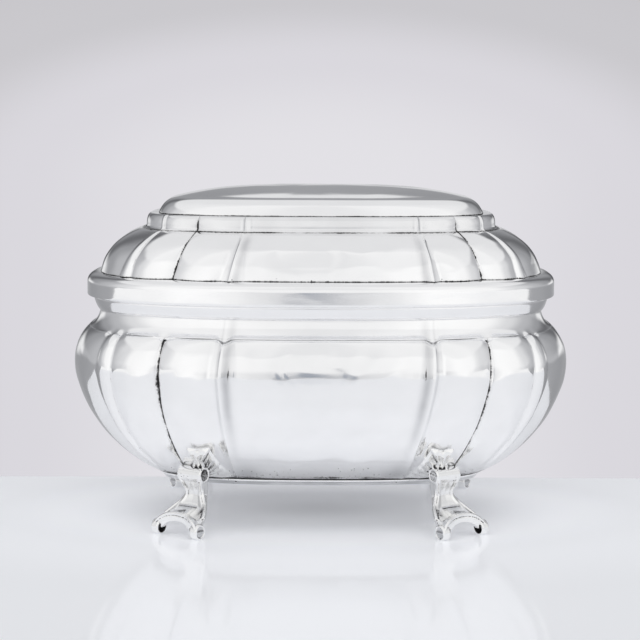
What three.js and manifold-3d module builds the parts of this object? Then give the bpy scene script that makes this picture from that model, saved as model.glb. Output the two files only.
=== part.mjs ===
import * as THREE from 'three';
import Module from 'manifold-3d';
import { mergeVertices } from 'three/addons/utils/BufferGeometryUtils.js';

// A lobed oval casket of silver sheet on four cast feet, with a hinged domed lid.
// Millimetres, +Z up, front towards -Y, origin on the table under the middle of the bowl.

const wasm = await Module();
wasm.setup();

// Plan of the widest level: a squared oval, every other level is parallel to it, set in by an inset
const bowlLength = 150;
const bowlWidth = 107;
const squareness = 2.6;

// Sheet and fits
const sheet = 1.0;
const gap = 0.3;

// Heights, each on top of the one before it
const footClearance = 12.8;
const baseMouldingHeight = 2.0;
const bulgeRise = 33.0;
const shoulderRise = 10.5;
const neckRise = 5.2;
const rimRise = 4.45;
const bandHeight = 4.0;
const bandShoulderRise = 2.6;
const domeRise = 12.6;
const stepRise = 4.75;
const plateauWallRise = 4.7;
const plateauCrown = 3.3;

// Insets from the widest outline
const bowlFootInset = 24.2;
const baseMouldingInset = 25.6;
const baseMouldingWidth = 4.3;
const baseFlangeWidth = 4.6;
const shoulderInset = 4.4;
const neckInset = 7.9;
const rimOverhang = 1.9;
const bandInset = 4.0;
const ledgeInset = 8.0;
const ledgeWidth = 1.2;
const domeTopInset = 20.0;
const stepInset = 22.0;
const plateauInset = 25.7;
const plateauSeatWidth = 2.3;
const plateauEdgeInset = 31.8;
const crownPower = 3.2;

// Small turns of the sheet and wire
const neckStep = 0.4;        // from the tops of the lobes in to the smooth neck
const neckStepRise = 0.25;
const neckRound = 0.6;
const rimLipRise = 0.4;      // from the neck's narrowest level up to the rim wire
const rimRound = 0.5;
const rimEdge = 0.8;
const rimEdgeRound = 0.2;
const bandRound = 0.3;
const flangeLap = 1.0;       // how far the lid band's flange reaches out past the locating strip
const stepEdge = 0.2;
const stepLean = 0.1;
const stepRound = 0.8;
const stepShoulder = 2.4;
const plateauWallLean = 1.0;
const plateauWallRound = 2.7;

// Locating strip inside the mouth
const bezelBelowSplit = 6.0;
const bezelAboveSplit = 2.6;

// Lobing: arc positions from the front centre on the widest outline
const frontRibAt = 30.7;
const creaseAt = 49.5;
const endRibAt = 68.3;
const ribHeight = 1.0;
const lobeCrown = 1.0;
const creaseDepth = 1.6;
const ribWidthAtFoot = 3.0;
const ribWidthAtBulge = 6.4;
const ribWidthAtShoulder = 5.4;
const ribWidthAtLedge = 6.0;
const ribWidthAtDomeTop = 2.6;
const patternDraw = 2.0;     // how far the lines close in towards the top of the dome
const patternDrawAtFoot = 3.0;
const patternLean = 0.055;   // sideways drift of the lines to the right, per mm of height

// Feet
const footTurn = 35;         // degrees between a foot's facing direction and the front
const footInFromEnd = 37.0;
const footInFromFront = 20.0;
const footSpread = 17.0;
const toeRollRadius = 2.3;
const toeRollLength = 3.6;
const toeReach = 6.9;
const toeWear = 0.15;
const toeTip = 1.6;
const archHeight = 4.4;
const archHalfWidth = 5.1;
const archBeadHeight = 1.7;
const knuckleBarRadius = 2.1;
const knuckleBarLength = 9.0;
const knuckleBarReach = 0.2;
const knuckleBarRise = 2.3;  // above the bowl's foot
const kneeReach = 1.9;
const shinDrop = 3.0;        // from the knee down to the narrowest part of the leg
const shinReach = 0.1;
const shinThickness = 4.0;
const saddleReach = 2.4;
const ankleHalfWidth = 3.2;
const waistHalfWidth = 2.7;
const hipHalfWidth = 4.5;
const thighHalfWidth = 6.0;
const heelReach = 5.4;       // behind the front of the leg, where the bowl cuts it
const soleCurl = 2.2;
const soleRise = 1.4;

// Leaf that spreads from each foot up the bowl
const leafInFromEnd = 39.6;
const leafThickness = 2.0;   // level with the table, about 1.4 mm square to the bowl
const leafHalfWidth = 3.1;
const leafStemHalfWidth = 1.3;
const leafRootHalfWidth = 2.4;
const leafTopRise = 10.8;    // above the bowl's foot
const leafNotch = 0.8;
const leafStemRise = 6.4;

// Hinge at the back
const hingeLength = 30.0;
const hingeKnuckles = 5;
const knuckleRadius = 1.7;
const pinRadius = 0.75;
const hingeSetIn = 0.3;      // from the face of the lid band in to the hinge axis
const openAngle = 105;
const bearerReach = 2.2;     // from the axis out to the bearers' outer faces
const bearerDrop = 5.5;
const bearerRise = 3.8;

// Facets
const panelSteps = 2;
const ribSteps = 2;
const lobeSteps = 4;
const endPanelSteps = 3;
const knuckleSides = 16;
const toeRollSides = 14;
const knuckleBarSides = 10;

// Levels worked out from the sizes above
const bowlFootZ = footClearance + baseMouldingHeight + gap;
const bulgeZ = bowlFootZ + bulgeRise;
const shoulderZ = bulgeZ + shoulderRise;
const neckZ = shoulderZ + neckRise;
const rimTopZ = neckZ + rimRise;
const splitZ = rimTopZ + gap / 2;
const lidBottomZ = rimTopZ + gap;
const ledgeZ = lidBottomZ + bandHeight + bandShoulderRise;
const domeFootZ = ledgeZ + gap;
const domeTopZ = domeFootZ + domeRise;
const stepTopZ = domeTopZ + stepRise;
const plateauFootZ = stepTopZ + gap;
const plateauEdgeZ = plateauFootZ + plateauWallRise;
const bezelInset = neckInset + sheet + gap;
const baseFlangeInset = bowlFootInset + baseFlangeWidth;
const footX = bowlLength / 2 - footInFromEnd;
const footY = bowlWidth / 2 - footInFromFront;
const leafX = bowlLength / 2 - leafInFromEnd;
const hingeY = bowlWidth / 2 - bandInset - hingeSetIn;

// Plan outline, found by the direction of its normal (0 at the end, 90 degrees at the front)
const halfLength = bowlLength / 2;
const halfWidth = bowlWidth / 2;
const dual = squareness / (squareness - 1);

function outlineAt(angle) {
  const c = Math.cos(angle);
  const s = Math.sin(angle);
  const support = ((halfLength * c) ** dual + (halfWidth * s) ** dual) ** (1 / dual);
  const k = support ** (dual - 1);
  return {
    x: (halfLength ** dual * c ** (dual - 1)) / k,
    y: (halfWidth ** dual * s ** (dual - 1)) / k,
    nx: c,
    ny: s,
  };
}

// Arc length along a quarter of the outline, from the front centre to the end
const arcTable = [{ arc: 0, ...outlineAt(Math.PI / 2) }];
const arcSamples = 4000;
for (let i = 1; i <= arcSamples; i += 1) {
  const here = outlineAt(Math.max(0, (Math.PI / 2) * (1 - (i / arcSamples) ** 1.5)));
  const last = arcTable[i - 1];
  arcTable.push({ arc: last.arc + Math.hypot(here.x - last.x, here.y - last.y), ...here });
}
const quarterArc = arcTable[arcSamples].arc;

function outlineAtArc(arc) {
  let low = 0;
  let high = arcSamples;
  while (high - low > 1) {
    const middle = (low + high) >> 1;
    if (arcTable[middle].arc <= arc) low = middle;
    else high = middle;
  }
  const a = arcTable[low];
  const b = arcTable[high];
  const t = THREE.MathUtils.clamp((arc - a.arc) / (b.arc - a.arc), 0, 1);
  const mix = (key) => a[key] + (b[key] - a[key]) * t;
  return { x: mix('x'), y: mix('y'), nx: mix('nx'), ny: mix('ny') };
}

// Lobing pattern: where its lines lie at a height, and how far each point stands out
const patternLevels = [
  { z: bowlFootZ, rib: ribWidthAtFoot, draw: patternDrawAtFoot },
  { z: bulgeZ, rib: ribWidthAtBulge, draw: 0 },
  { z: shoulderZ, rib: ribWidthAtShoulder, draw: 0 },
  { z: domeFootZ, rib: ribWidthAtLedge, draw: 0 },
  { z: domeTopZ, rib: ribWidthAtDomeTop, draw: patternDraw },
];
const leanWeight = { frontRib: 1, crease: 0.75, endRib: 0.45 };

function patternAt(z) {
  const last = patternLevels.length - 1;
  let i = 0;
  while (i < last - 1 && z > patternLevels[i + 1].z) i += 1;
  const a = patternLevels[i];
  const b = patternLevels[i + 1];
  const t = THREE.MathUtils.clamp((z - a.z) / (b.z - a.z), 0, 1);
  return {
    rib: a.rib + (b.rib - a.rib) * t,
    draw: a.draw + (b.draw - a.draw) * t,
    lean: patternLean * THREE.MathUtils.clamp(z - bowlFootZ, 0, domeTopZ - bowlFootZ),
  };
}

const ribRelief = (f) => ribHeight * (1 - (2 * f - 1) ** 2);
const lobeRelief = (f) => 4 * lobeCrown * f * (1 - f) - creaseDepth * f * f;

// Stations along a quarter, from the front centre to the end, on the right (1) or left (-1) side
function quarterStations(z, side) {
  const { rib, draw, lean } = patternAt(z);
  const frontRib = frontRibAt - draw + side * lean * leanWeight.frontRib;
  const crease = creaseAt - draw + side * lean * leanWeight.crease;
  const endRib = endRibAt - draw + side * lean * leanWeight.endRib;
  const spans = [
    { from: 0, to: frontRib - rib / 2, steps: panelSteps, relief: () => 0 },
    { from: frontRib - rib / 2, to: frontRib + rib / 2, steps: ribSteps, relief: ribRelief },
    { from: frontRib + rib / 2, to: crease, steps: lobeSteps, relief: lobeRelief },
    { from: crease, to: endRib - rib / 2, steps: lobeSteps, relief: (f) => lobeRelief(1 - f) },
    { from: endRib - rib / 2, to: endRib + rib / 2, steps: ribSteps, relief: ribRelief },
    { from: endRib + rib / 2, to: quarterArc, steps: endPanelSteps, relief: () => 0 },
  ];
  const stations = [{ ...outlineAtArc(0), relief: 0 }];
  for (const span of spans) {
    for (let i = 1; i <= span.steps; i += 1) {
      const f = i / span.steps;
      const arc = span.from + (span.to - span.from) * f;
      stations.push({ ...outlineAtArc(arc), relief: span.relief(f) });
    }
  }
  return stations;
}

// The whole outline, anticlockwise from the front centre
function ringStations(z) {
  const right = quarterStations(z, 1);
  const left = quarterStations(z, -1);
  const last = right.length - 1;
  const turn = (list, sx, sy) => list.map((p) => ({
    x: sx * p.x, y: sy * p.y, nx: sx * p.nx, ny: sy * p.ny, relief: p.relief,
  }));
  return [
    ...turn(right.slice(0, last), 1, -1),
    ...turn(right.slice(1).reverse(), 1, 1),
    ...turn(left.slice(0, last), -1, 1),
    ...turn(left.slice(1).reverse(), -1, -1),
  ];
}

// One row of a swept skin; a row of scale 0 is a single point on the axis
function row(inset, z, relief = 0, scale = 1) {
  return { inset, z, relief, scale };
}

function rowPoints({ inset, z, relief, scale }, grow = 0) {
  if (scale === 0) return [[0, 0, z]];
  return ringStations(z).map((p) => {
    const out = relief * p.relief - inset + grow;
    return [scale * (p.x + p.nx * out), scale * (p.y + p.ny * out), z];
  });
}

// Skin over the rows; without points on the axis at both ends the last row joins the first
function sweep(rows, grow = 0) {
  const positions = [];
  const rings = rows.map((r) => {
    const points = rowPoints(r, grow);
    const first = positions.length / 3;
    points.forEach((p) => positions.push(...p));
    return { first, count: points.length };
  });
  if (rows[0].scale !== 0) rings.push(rings[0]);
  const index = [];
  for (let i = 1; i < rings.length; i += 1) {
    const a = rings[i - 1];
    const b = rings[i];
    const count = Math.max(a.count, b.count);
    for (let j = 0; j < count; j += 1) {
      const a0 = a.first + (j % a.count);
      const a1 = a.first + ((j + 1) % a.count);
      const b0 = b.first + (j % b.count);
      const b1 = b.first + ((j + 1) % b.count);
      if (a.count > 1) index.push(a0, a1, b1);
      if (b.count > 1) index.push(a0, b1, b0);
    }
  }
  const geometry = new THREE.BufferGeometry();
  geometry.setAttribute('position', new THREE.Float32BufferAttribute(positions, 3));
  geometry.setIndex(index);
  return facingOut(geometry);
}

function signedVolume(geometry) {
  const p = geometry.getAttribute('position');
  const index = geometry.getIndex().array;
  const [a, b, c] = [new THREE.Vector3(), new THREE.Vector3(), new THREE.Vector3()];
  let six = 0;
  for (let i = 0; i < index.length; i += 3) {
    a.fromBufferAttribute(p, index[i]);
    b.fromBufferAttribute(p, index[i + 1]);
    c.fromBufferAttribute(p, index[i + 2]);
    six += a.dot(b.cross(c));
  }
  return six / 6;
}

function facingOut(geometry) {
  if (signedVolume(geometry) < 0) {
    const index = geometry.getIndex();
    for (let i = 0; i < index.count; i += 3) {
      const swap = index.getX(i);
      index.setX(i, index.getX(i + 1));
      index.setX(i + 1, swap);
    }
  }
  return geometry;
}

// Inner face of a bent sheet: the rows of its outer face set in by the sheet's thickness
function innerFace(rows, thickness = sheet) {
  const normal = (a, b) => {
    const length = Math.hypot(b.inset - a.inset, b.z - a.z);
    return [(b.z - a.z) / length, -(b.inset - a.inset) / length];
  };
  return rows.map((r, i) => {
    const before = i > 0 ? normal(rows[i - 1], r) : normal(r, rows[1]);
    const after = i < rows.length - 1 ? normal(r, rows[i + 1]) : before;
    const stretch = thickness / (1 + before[0] * after[0] + before[1] * after[1]);
    const inset = r.inset + (before[0] + after[0]) * stretch;
    const z = r.z + (before[1] + after[1]) * stretch;
    return row(inset, z, r.relief, r.scale);
  });
}

// Rows along a curve between two points of a profile, with the relief changing evenly
function curveRows(points, steps, reliefFrom, reliefTo, skipFirst = false) {
  const corners = points.map(([inset, z]) => new THREE.Vector2(inset, z));
  const curve = corners.length === 4
    ? new THREE.CubicBezierCurve(...corners)
    : new THREE.QuadraticBezierCurve(...corners);
  return curve.getPoints(steps).slice(skipFirst ? 1 : 0).map((p, i) => {
    const t = (i + (skipFirst ? 1 : 0)) / steps;
    return row(p.x, p.y, reliefFrom + (reliefTo - reliefFrom) * t);
  });
}

// Booleans
function toManifold(geometry) {
  const bare = geometry.clone();
  bare.deleteAttribute('normal');
  bare.deleteAttribute('uv');
  const merged = mergeVertices(bare, 1e-4);
  return new wasm.Manifold(new wasm.Mesh({
    numProp: 3,
    vertProperties: new Float32Array(merged.getAttribute('position').array),
    triVerts: new Uint32Array(merged.getIndex().array),
  }));
}

function toGeometry(solid) {
  const mesh = solid.getMesh();
  const geometry = new THREE.BufferGeometry();
  geometry.setAttribute('position', new THREE.Float32BufferAttribute(mesh.vertProperties, 3));
  geometry.setIndex(new THREE.Uint32BufferAttribute(mesh.triVerts, 1));
  return geometry;
}

function box(x0, x1, y0, y1, z0, z1) {
  const geometry = new THREE.BoxGeometry(x1 - x0, y1 - y0, z1 - z0);
  return geometry.translate((x0 + x1) / 2, (y0 + y1) / 2, (z0 + z1) / 2);
}

// A section in the YZ plane, drawn as (y, z), pushed along X
function extrudeAlongX(shape, x0, x1, curveSegments = 12) {
  const geometry = new THREE.ExtrudeGeometry(shape, {
    depth: x1 - x0, bevelEnabled: false, steps: 1, curveSegments,
  });
  const turn = new THREE.Matrix4().makeBasis(
    new THREE.Vector3(0, 1, 0), new THREE.Vector3(0, 0, 1), new THREE.Vector3(1, 0, 0),
  );
  return geometry.applyMatrix4(turn).translate(x0, 0, 0);
}

// An outline in the XZ plane, drawn as (x, z), pushed along Y
function extrudeAlongY(shape, y0, y1, curveSegments = 12) {
  const geometry = new THREE.ExtrudeGeometry(shape, {
    depth: y1 - y0, bevelEnabled: false, steps: 1, curveSegments,
  });
  return geometry.rotateX(Math.PI / 2).translate(0, y1, 0);
}

// Bowl
const bowlLowerCurve = [
  [bowlFootInset, bowlFootZ],
  [bowlFootInset * 0.465, bowlFootZ + bulgeRise * 0.18],
  [0, bulgeZ - bulgeRise * 0.385],
  [0, bulgeZ],
];
const bowlUpperCurve = [
  [0, bulgeZ],
  [0, bulgeZ + shoulderRise * 0.55],
  [shoulderInset * 0.62, shoulderZ - shoulderRise * 0.12],
  [shoulderInset, shoulderZ],
];
const neckCurve = [
  [shoulderInset + neckStep, shoulderZ + neckStepRise],
  [neckInset - neckRound, shoulderZ + neckRise * 0.35],
  [neckInset, neckZ],
];
const reliefAtFoot = 0.55;
const reliefAtShoulder = 0.6;

const bowlFace = [
  ...curveRows(bowlLowerCurve, 7, reliefAtFoot, 1),
  ...curveRows(bowlUpperCurve, 4, 1, reliefAtShoulder, true),
  ...curveRows(neckCurve, 2, 0, 0),
  row(neckInset, rimTopZ),
];

function bodyShell() {
  const outer = [row(baseFlangeInset, bowlFootZ), ...bowlFace];
  const inner = innerFace(outer);
  inner[0].inset = baseFlangeInset;
  inner[inner.length - 1].z = rimTopZ;
  const bulgeRows = inner.slice(2, -5).filter((r, i) => i % 3 === 1);
  return sweep([...outer, ...[...inner.slice(0, 2), ...bulgeRows, ...inner.slice(-5)].reverse()]);
}

// The bowl as a solid, grown outwards, to cut what is fitted to it
function bowlGrown(growth) {
  const rows = bowlFace.map((r) => ({ ...r }));
  return sweep([
    row(0, bowlFootZ - gap, 0, 0),
    row(bowlFootInset, bowlFootZ - gap, reliefAtFoot),
    ...rows,
    row(0, rimTopZ, 0, 0),
  ], growth);
}

function baseMoulding() {
  const low = footClearance;
  const high = footClearance + baseMouldingHeight;
  const round = baseMouldingHeight * 0.25;
  const inner = baseMouldingInset + baseMouldingWidth;
  return sweep([
    row(inner, low),
    row(baseMouldingInset + round, low),
    row(baseMouldingInset, low + round),
    row(baseMouldingInset, high - round),
    row(baseMouldingInset + round, high),
    row(inner, high),
  ]);
}

function basePlate() {
  const edge = baseFlangeInset + gap;
  return sweep([
    row(edge, bowlFootZ, 0, 0),
    row(edge, bowlFootZ),
    row(edge, bowlFootZ + sheet),
    row(edge, bowlFootZ + sheet, 0, 0),
  ]);
}

function rimMoulding() {
  const inner = neckInset - gap;
  const outer = neckInset - rimOverhang;
  const lowest = neckZ + rimLipRise;
  return sweep([
    row(inner, rimTopZ),
    row(inner, lowest),
    ...curveRows([
      [inner - rimRound, lowest],
      [outer + rimRound, lowest + rimRise * 0.25],
      [outer, rimTopZ - rimEdge],
    ], 2, 0, 0),
    row(outer + rimEdgeRound, rimTopZ),
  ]);
}

function bezelStrip() {
  const low = splitZ - bezelBelowSplit;
  const high = splitZ + bezelAboveSplit;
  return sweep([
    row(bezelInset, low),
    row(bezelInset, high),
    row(bezelInset + sheet, high),
    row(bezelInset + sheet, low),
  ]);
}

// Lid
const bandInnerInset = ledgeInset + ledgeWidth;
const bandTopZ = lidBottomZ + bandHeight;

function lidBand() {
  const flangeInset = bezelInset - flangeLap;
  const outer = [
    row(flangeInset, lidBottomZ),
    row(bandInset, lidBottomZ),
    ...curveRows([
      [bandInset, bandTopZ], [bandInset + bandRound, ledgeZ - bandRound], [ledgeInset, ledgeZ],
    ], 3, 0, 0),
    row(bandInnerInset, ledgeZ),
  ];
  const inner = innerFace(outer);
  inner[0].inset = flangeInset;
  inner[inner.length - 1].inset = bandInnerInset;
  return sweep([...outer, ...inner.reverse()]);
}

const domeCurve = [
  [ledgeInset, domeFootZ],
  [ledgeInset + domeRise * 0.1, domeFootZ + domeRise * 0.347],
  [ledgeInset + domeRise * 0.19, domeFootZ + domeRise * 0.693],
  [domeTopInset, domeTopZ],
];
const reliefAtLedge = 0.85;
const reliefAtDomeTop = 0.6;
const reliefOnStep = 0.5;

function lidShell() {
  const seat = plateauInset + plateauSeatWidth;
  const outer = [
    ...curveRows(domeCurve, 6, reliefAtLedge, reliefAtDomeTop),
    row(stepInset, domeTopZ + stepEdge, reliefOnStep),
    row(stepInset + stepLean, domeTopZ + stepRise * 0.45, reliefOnStep),
    row(stepInset + stepRound, domeTopZ + stepRise * 0.8, reliefOnStep),
    row(stepInset + stepShoulder, stepTopZ, reliefOnStep * 0.5),
    row(seat, stepTopZ),
  ];
  const inner = innerFace(outer);
  inner[0].z = domeFootZ;
  inner[inner.length - 1].inset = seat;
  const domeRows = inner.slice(1, 6).filter((r, i) => i % 2 === 1);
  return sweep([...outer, ...[inner[0], ...domeRows, ...inner.slice(6)].reverse()]);
}

// The smooth top, a crowned dish turned over
function lidTopPlate() {
  const wall = curveRows([
    [plateauInset, plateauFootZ],
    [plateauInset + plateauWallLean, plateauFootZ + plateauWallRise * 0.48],
    [plateauInset + plateauWallRound, plateauFootZ + plateauWallRise * 0.88],
    [plateauEdgeInset, plateauEdgeZ],
  ], 3, 0, 0);
  const crown = (scale, inset, z) => row(inset, z + plateauCrown * (1 - scale ** crownPower), 0, scale);
  const scales = [0.85, 0.5, 0];
  const inside = innerFace(wall);
  inside[0].z = plateauFootZ;
  const insideEdge = inside[inside.length - 1];
  return sweep([
    ...scales.map((s) => crown(s, insideEdge.inset, insideEdge.z)).reverse(),
    ...inside.reverse(),
    ...wall,
    ...scales.map((s) => crown(s, plateauEdgeInset, plateauEdgeZ)),
  ]);
}

// Feet, drawn facing -Y: side view as (outward reach, height), front view as (across, height)
const kneeZ = bowlFootZ + knuckleBarRise;
const kneeTopZ = kneeZ + knuckleBarRadius;

function footSideView() {
  const shape = new THREE.Shape();
  shape.moveTo(-heelReach, kneeTopZ);
  shape.lineTo(kneeReach - knuckleBarRadius / 2, kneeTopZ);
  shape.splineThru([
    new THREE.Vector2(kneeReach, kneeZ),
    new THREE.Vector2(shinReach, kneeZ - shinDrop),
    new THREE.Vector2(shinReach, footClearance * 0.72),
    new THREE.Vector2(saddleReach, footClearance * 0.57),
    new THREE.Vector2(toeReach, archHeight + archBeadHeight),
  ]);
  shape.lineTo(toeReach + toeTip, toeRollRadius * 2);
  shape.lineTo(toeReach + toeTip * 1.1, toeRollRadius);
  shape.lineTo(toeReach, 0);
  shape.splineThru([
    new THREE.Vector2(toeReach - soleCurl, soleRise),
    new THREE.Vector2(saddleReach * 0.25, footClearance * 0.36),
    new THREE.Vector2(shinReach - shinThickness * 0.6, footClearance * 0.52),
    new THREE.Vector2(shinReach - shinThickness, footClearance * 0.86),
    new THREE.Vector2(-heelReach * 0.85, bowlFootZ - gap),
  ]);
  shape.lineTo(-heelReach, kneeZ);
  shape.closePath();
  return shape;
}

function footFrontView() {
  const half = footSpread / 2;
  const below = -toeRollRadius;
  const side = [
    [knuckleBarLength / 2 - gap, kneeZ],
    [ankleHalfWidth, bowlFootZ],
    [waistHalfWidth, footClearance],
    [hipHalfWidth, footClearance * 0.72],
    [thighHalfWidth, footClearance * 0.62],
    [half - gap, archHeight + archBeadHeight],
    [half, toeRollRadius],
  ].map(([x, z]) => new THREE.Vector2(x, z));
  const shape = new THREE.Shape();
  shape.moveTo(-half, below);
  shape.lineTo(-half, toeRollRadius);
  shape.splineThru(side.slice(0, -1).reverse().map((p) => new THREE.Vector2(-p.x, p.y)));
  shape.lineTo(-side[0].x, kneeTopZ);
  shape.lineTo(side[0].x, kneeTopZ);
  shape.lineTo(side[0].x, side[0].y);
  shape.splineThru(side.slice(1));
  shape.lineTo(half, below);
  shape.lineTo(archHalfWidth, below);
  shape.lineTo(archHalfWidth, 0);
  shape.absellipse(0, 0, archHalfWidth, archHeight, 0, Math.PI, false);
  shape.lineTo(-archHalfWidth, below);
  shape.closePath();
  return shape;
}

// A fan on the bowl's face, seen from the front
function leaf(sideX, sideY) {
  const topZ = bowlFootZ + leafTopRise;
  const fan = [
    [-leafRootHalfWidth, kneeZ],
    [leafRootHalfWidth, kneeZ],
    [leafStemHalfWidth, bowlFootZ + leafStemRise],
    [leafHalfWidth, topZ],
    [0, topZ - leafNotch],
    [-leafHalfWidth, topZ],
    [-leafStemHalfWidth, bowlFootZ + leafStemRise],
  ];
  const shape = new THREE.Shape(fan.map(([x, z]) => new THREE.Vector2(x, z)));
  const blank = extrudeAlongY(shape, 0, bowlWidth / 2).translate(sideX * leafX, 0, 0);
  if (sideY < 0) blank.translate(0, -bowlWidth / 2, 0);
  return toManifold(blank).intersect(toManifold(bowlGrown(gap + leafThickness)));
}

function barAlongX(radius, x0, x1, sides) {
  const geometry = new THREE.CylinderGeometry(radius, radius, x1 - x0, sides);
  return geometry.rotateZ(-Math.PI / 2).translate((x0 + x1) / 2, 0, 0);
}

function footBlank() {
  const wide = footSpread;
  const side = extrudeAlongX(footSideView(), -wide, wide, 2).scale(1, -1, 1);
  side.setIndex(flipped(side));
  const front = extrudeAlongY(footFrontView(), -wide, wide, 2);
  let solid = toManifold(side).intersect(toManifold(front));
  const half = footSpread / 2;
  const rollZ = toeRollRadius - toeWear;
  for (const x0 of [-half, half - toeRollLength]) {
    const roll = barAlongX(toeRollRadius, x0, x0 + toeRollLength, toeRollSides);
    solid = solid.add(toManifold(roll.translate(0, -toeReach, rollZ)));
  }
  const reach = knuckleBarLength / 2;
  const knuckle = barAlongX(knuckleBarRadius, -reach, reach, knuckleBarSides);
  solid = solid.add(toManifold(knuckle.translate(0, -knuckleBarReach, kneeZ)));
  const below = box(-wide, wide, -wide, wide, -wide, 0);
  return toGeometry(solid.subtract(toManifold(below)));
}

// Triangle order turned round, for a geometry that was mirrored
function flipped(geometry) {
  const count = geometry.getAttribute('position').count;
  const index = geometry.getIndex()?.array ?? Array.from({ length: count }, (_, i) => i);
  const turned = [];
  for (let i = 0; i < index.length; i += 3) turned.push(index[i], index[i + 2], index[i + 1]);
  return turned;
}

function foot(sideX, sideY) {
  const turnDegrees = sideY < 0 ? footTurn : 180 - footTurn;
  const placed = footBlank()
    .rotateZ(THREE.MathUtils.degToRad(sideX * turnDegrees))
    .translate(sideX * footX, sideY * footY, 0);
  const solid = toManifold(placed).add(leaf(sideX, sideY));
  return toGeometry(solid.subtract(toManifold(bowlGrown(gap))));
}

// Hinge
const seatRadius = knuckleRadius + gap;
const neckFaceY = bowlWidth / 2 - neckInset + gap;
const stopAngle = THREE.MathUtils.degToRad(openAngle / 2);
const stopSlack = 0.05;

// Bearer section round the axis: up is 1 for the lid's bearer and -1 for the body's
function bearer(up, rise) {
  const inner = neckFaceY - hingeY;
  const level = gap / 2;
  const arcStart = Math.PI - Math.asin(level / seatRadius);
  const arcEnd = stopAngle + Math.asin(stopSlack / seatRadius);
  const stopZ = bearerReach * Math.tan(stopAngle) + stopSlack / Math.cos(stopAngle);
  const shape = new THREE.Shape();
  shape.moveTo(inner, level);
  shape.lineTo(-seatRadius * Math.cos(Math.asin(level / seatRadius)), level);
  shape.absarc(0, 0, seatRadius, arcStart, arcEnd, true);
  shape.lineTo(bearerReach, stopZ);
  shape.lineTo(bearerReach, rise);
  shape.lineTo(inner, rise);
  shape.closePath();
  const geometry = extrudeAlongX(shape, -hingeLength / 2, hingeLength / 2, 8);
  if (up < 0) {
    geometry.scale(1, 1, -1);
    geometry.setIndex(flipped(geometry));
  }
  return geometry.translate(0, hingeY, splitZ);
}

function hingeKnuckle(i) {
  const pitch = (hingeLength + gap) / hingeKnuckles;
  const length = pitch - gap;
  const bore = pinRadius + gap;
  const profile = [
    new THREE.Vector2(bore, 0),
    new THREE.Vector2(knuckleRadius, 0),
    new THREE.Vector2(knuckleRadius, length),
    new THREE.Vector2(bore, length),
    new THREE.Vector2(bore, 0),
  ];
  return new THREE.LatheGeometry(profile, knuckleSides)
    .rotateZ(-Math.PI / 2)
    .translate(-hingeLength / 2 + i * pitch, hingeY, splitZ);
}

function hingePin() {
  const half = hingeLength / 2;
  return barAlongX(pinRadius, -half, half, knuckleSides).translate(0, hingeY, splitZ);
}

// Room for the hinge in the rings that pass behind it
function hingeNotch(z0, z1) {
  const half = hingeLength / 2 + gap;
  return toManifold(box(-half, half, halfWidth - bezelInset, halfWidth + bearerReach, z0, z1));
}

function cutForHinge(geometry, z0, z1) {
  return toGeometry(toManifold(geometry).subtract(hingeNotch(z0, z1)));
}

// Finishes
function silver(colour, roughness) {
  return new THREE.MeshStandardMaterial({ color: colour, roughness, metalness: 1 });
}
const polished = silver(0xdcdcdf, 0.12);
const cast = silver(0xd2d2d0, 0.2);
const wire = silver(0xd6d6d8, 0.16);
const inside = silver(0xc9c8c6, 0.3);

const casket = new THREE.Group();
const body = new THREE.Group();
const lid = new THREE.Group();
lid.position.set(0, hingeY, splitZ);
casket.add(body, lid);

function place(group, name, geometry, material) {
  const mesh = new THREE.Mesh(geometry, material.clone());
  mesh.name = name;
  mesh.position.copy(group.position).negate();
  group.add(mesh);
}

place(body, 'body_shell', bodyShell(), polished);
place(body, 'base_plate', basePlate(), inside);
place(body, 'base_moulding', baseMoulding(), wire);
place(body, 'body_rim_moulding',
  cutForHinge(rimMoulding(), splitZ - bearerDrop - gap, splitZ + gap), wire);
place(body, 'bezel_strip', bezelStrip(), inside);
place(body, 'foot_front_left', foot(-1, -1), cast);
place(body, 'foot_front_right', foot(1, -1), cast);
place(body, 'foot_rear_left', foot(-1, 1), cast);
place(body, 'foot_rear_right', foot(1, 1), cast);
place(body, 'hinge_bearer_body', bearer(-1, bearerDrop), wire);
place(body, 'hinge_pin', hingePin(), cast);

place(lid, 'lid_band',
  cutForHinge(lidBand(), splitZ - gap, splitZ + bearerRise + gap), polished);
place(lid, 'lid_shell', lidShell(), polished);
place(lid, 'lid_top_plate', lidTopPlate(), polished);
place(lid, 'hinge_bearer_lid', bearer(1, bearerRise), wire);

for (let i = 0; i < hingeKnuckles; i += 1) {
  const onLid = i % 2 === 1;
  place(onLid ? lid : body, `hinge_knuckle_${i + 1}`, hingeKnuckle(i), wire);
}

export default casket;
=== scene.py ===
"""A lobed silver casket with a hinged domed lid, on four cast scroll feet.

Lengths are in millimetres until a mesh is made. The frame gives the heights and the main reaches.
+Z is up, the front faces -Y, and the hinge is at the back.
"""

import math

import bpy
import numpy as np
from mathutils import Matrix, Vector
from mathutils.bvhtree import BVHTree


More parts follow.
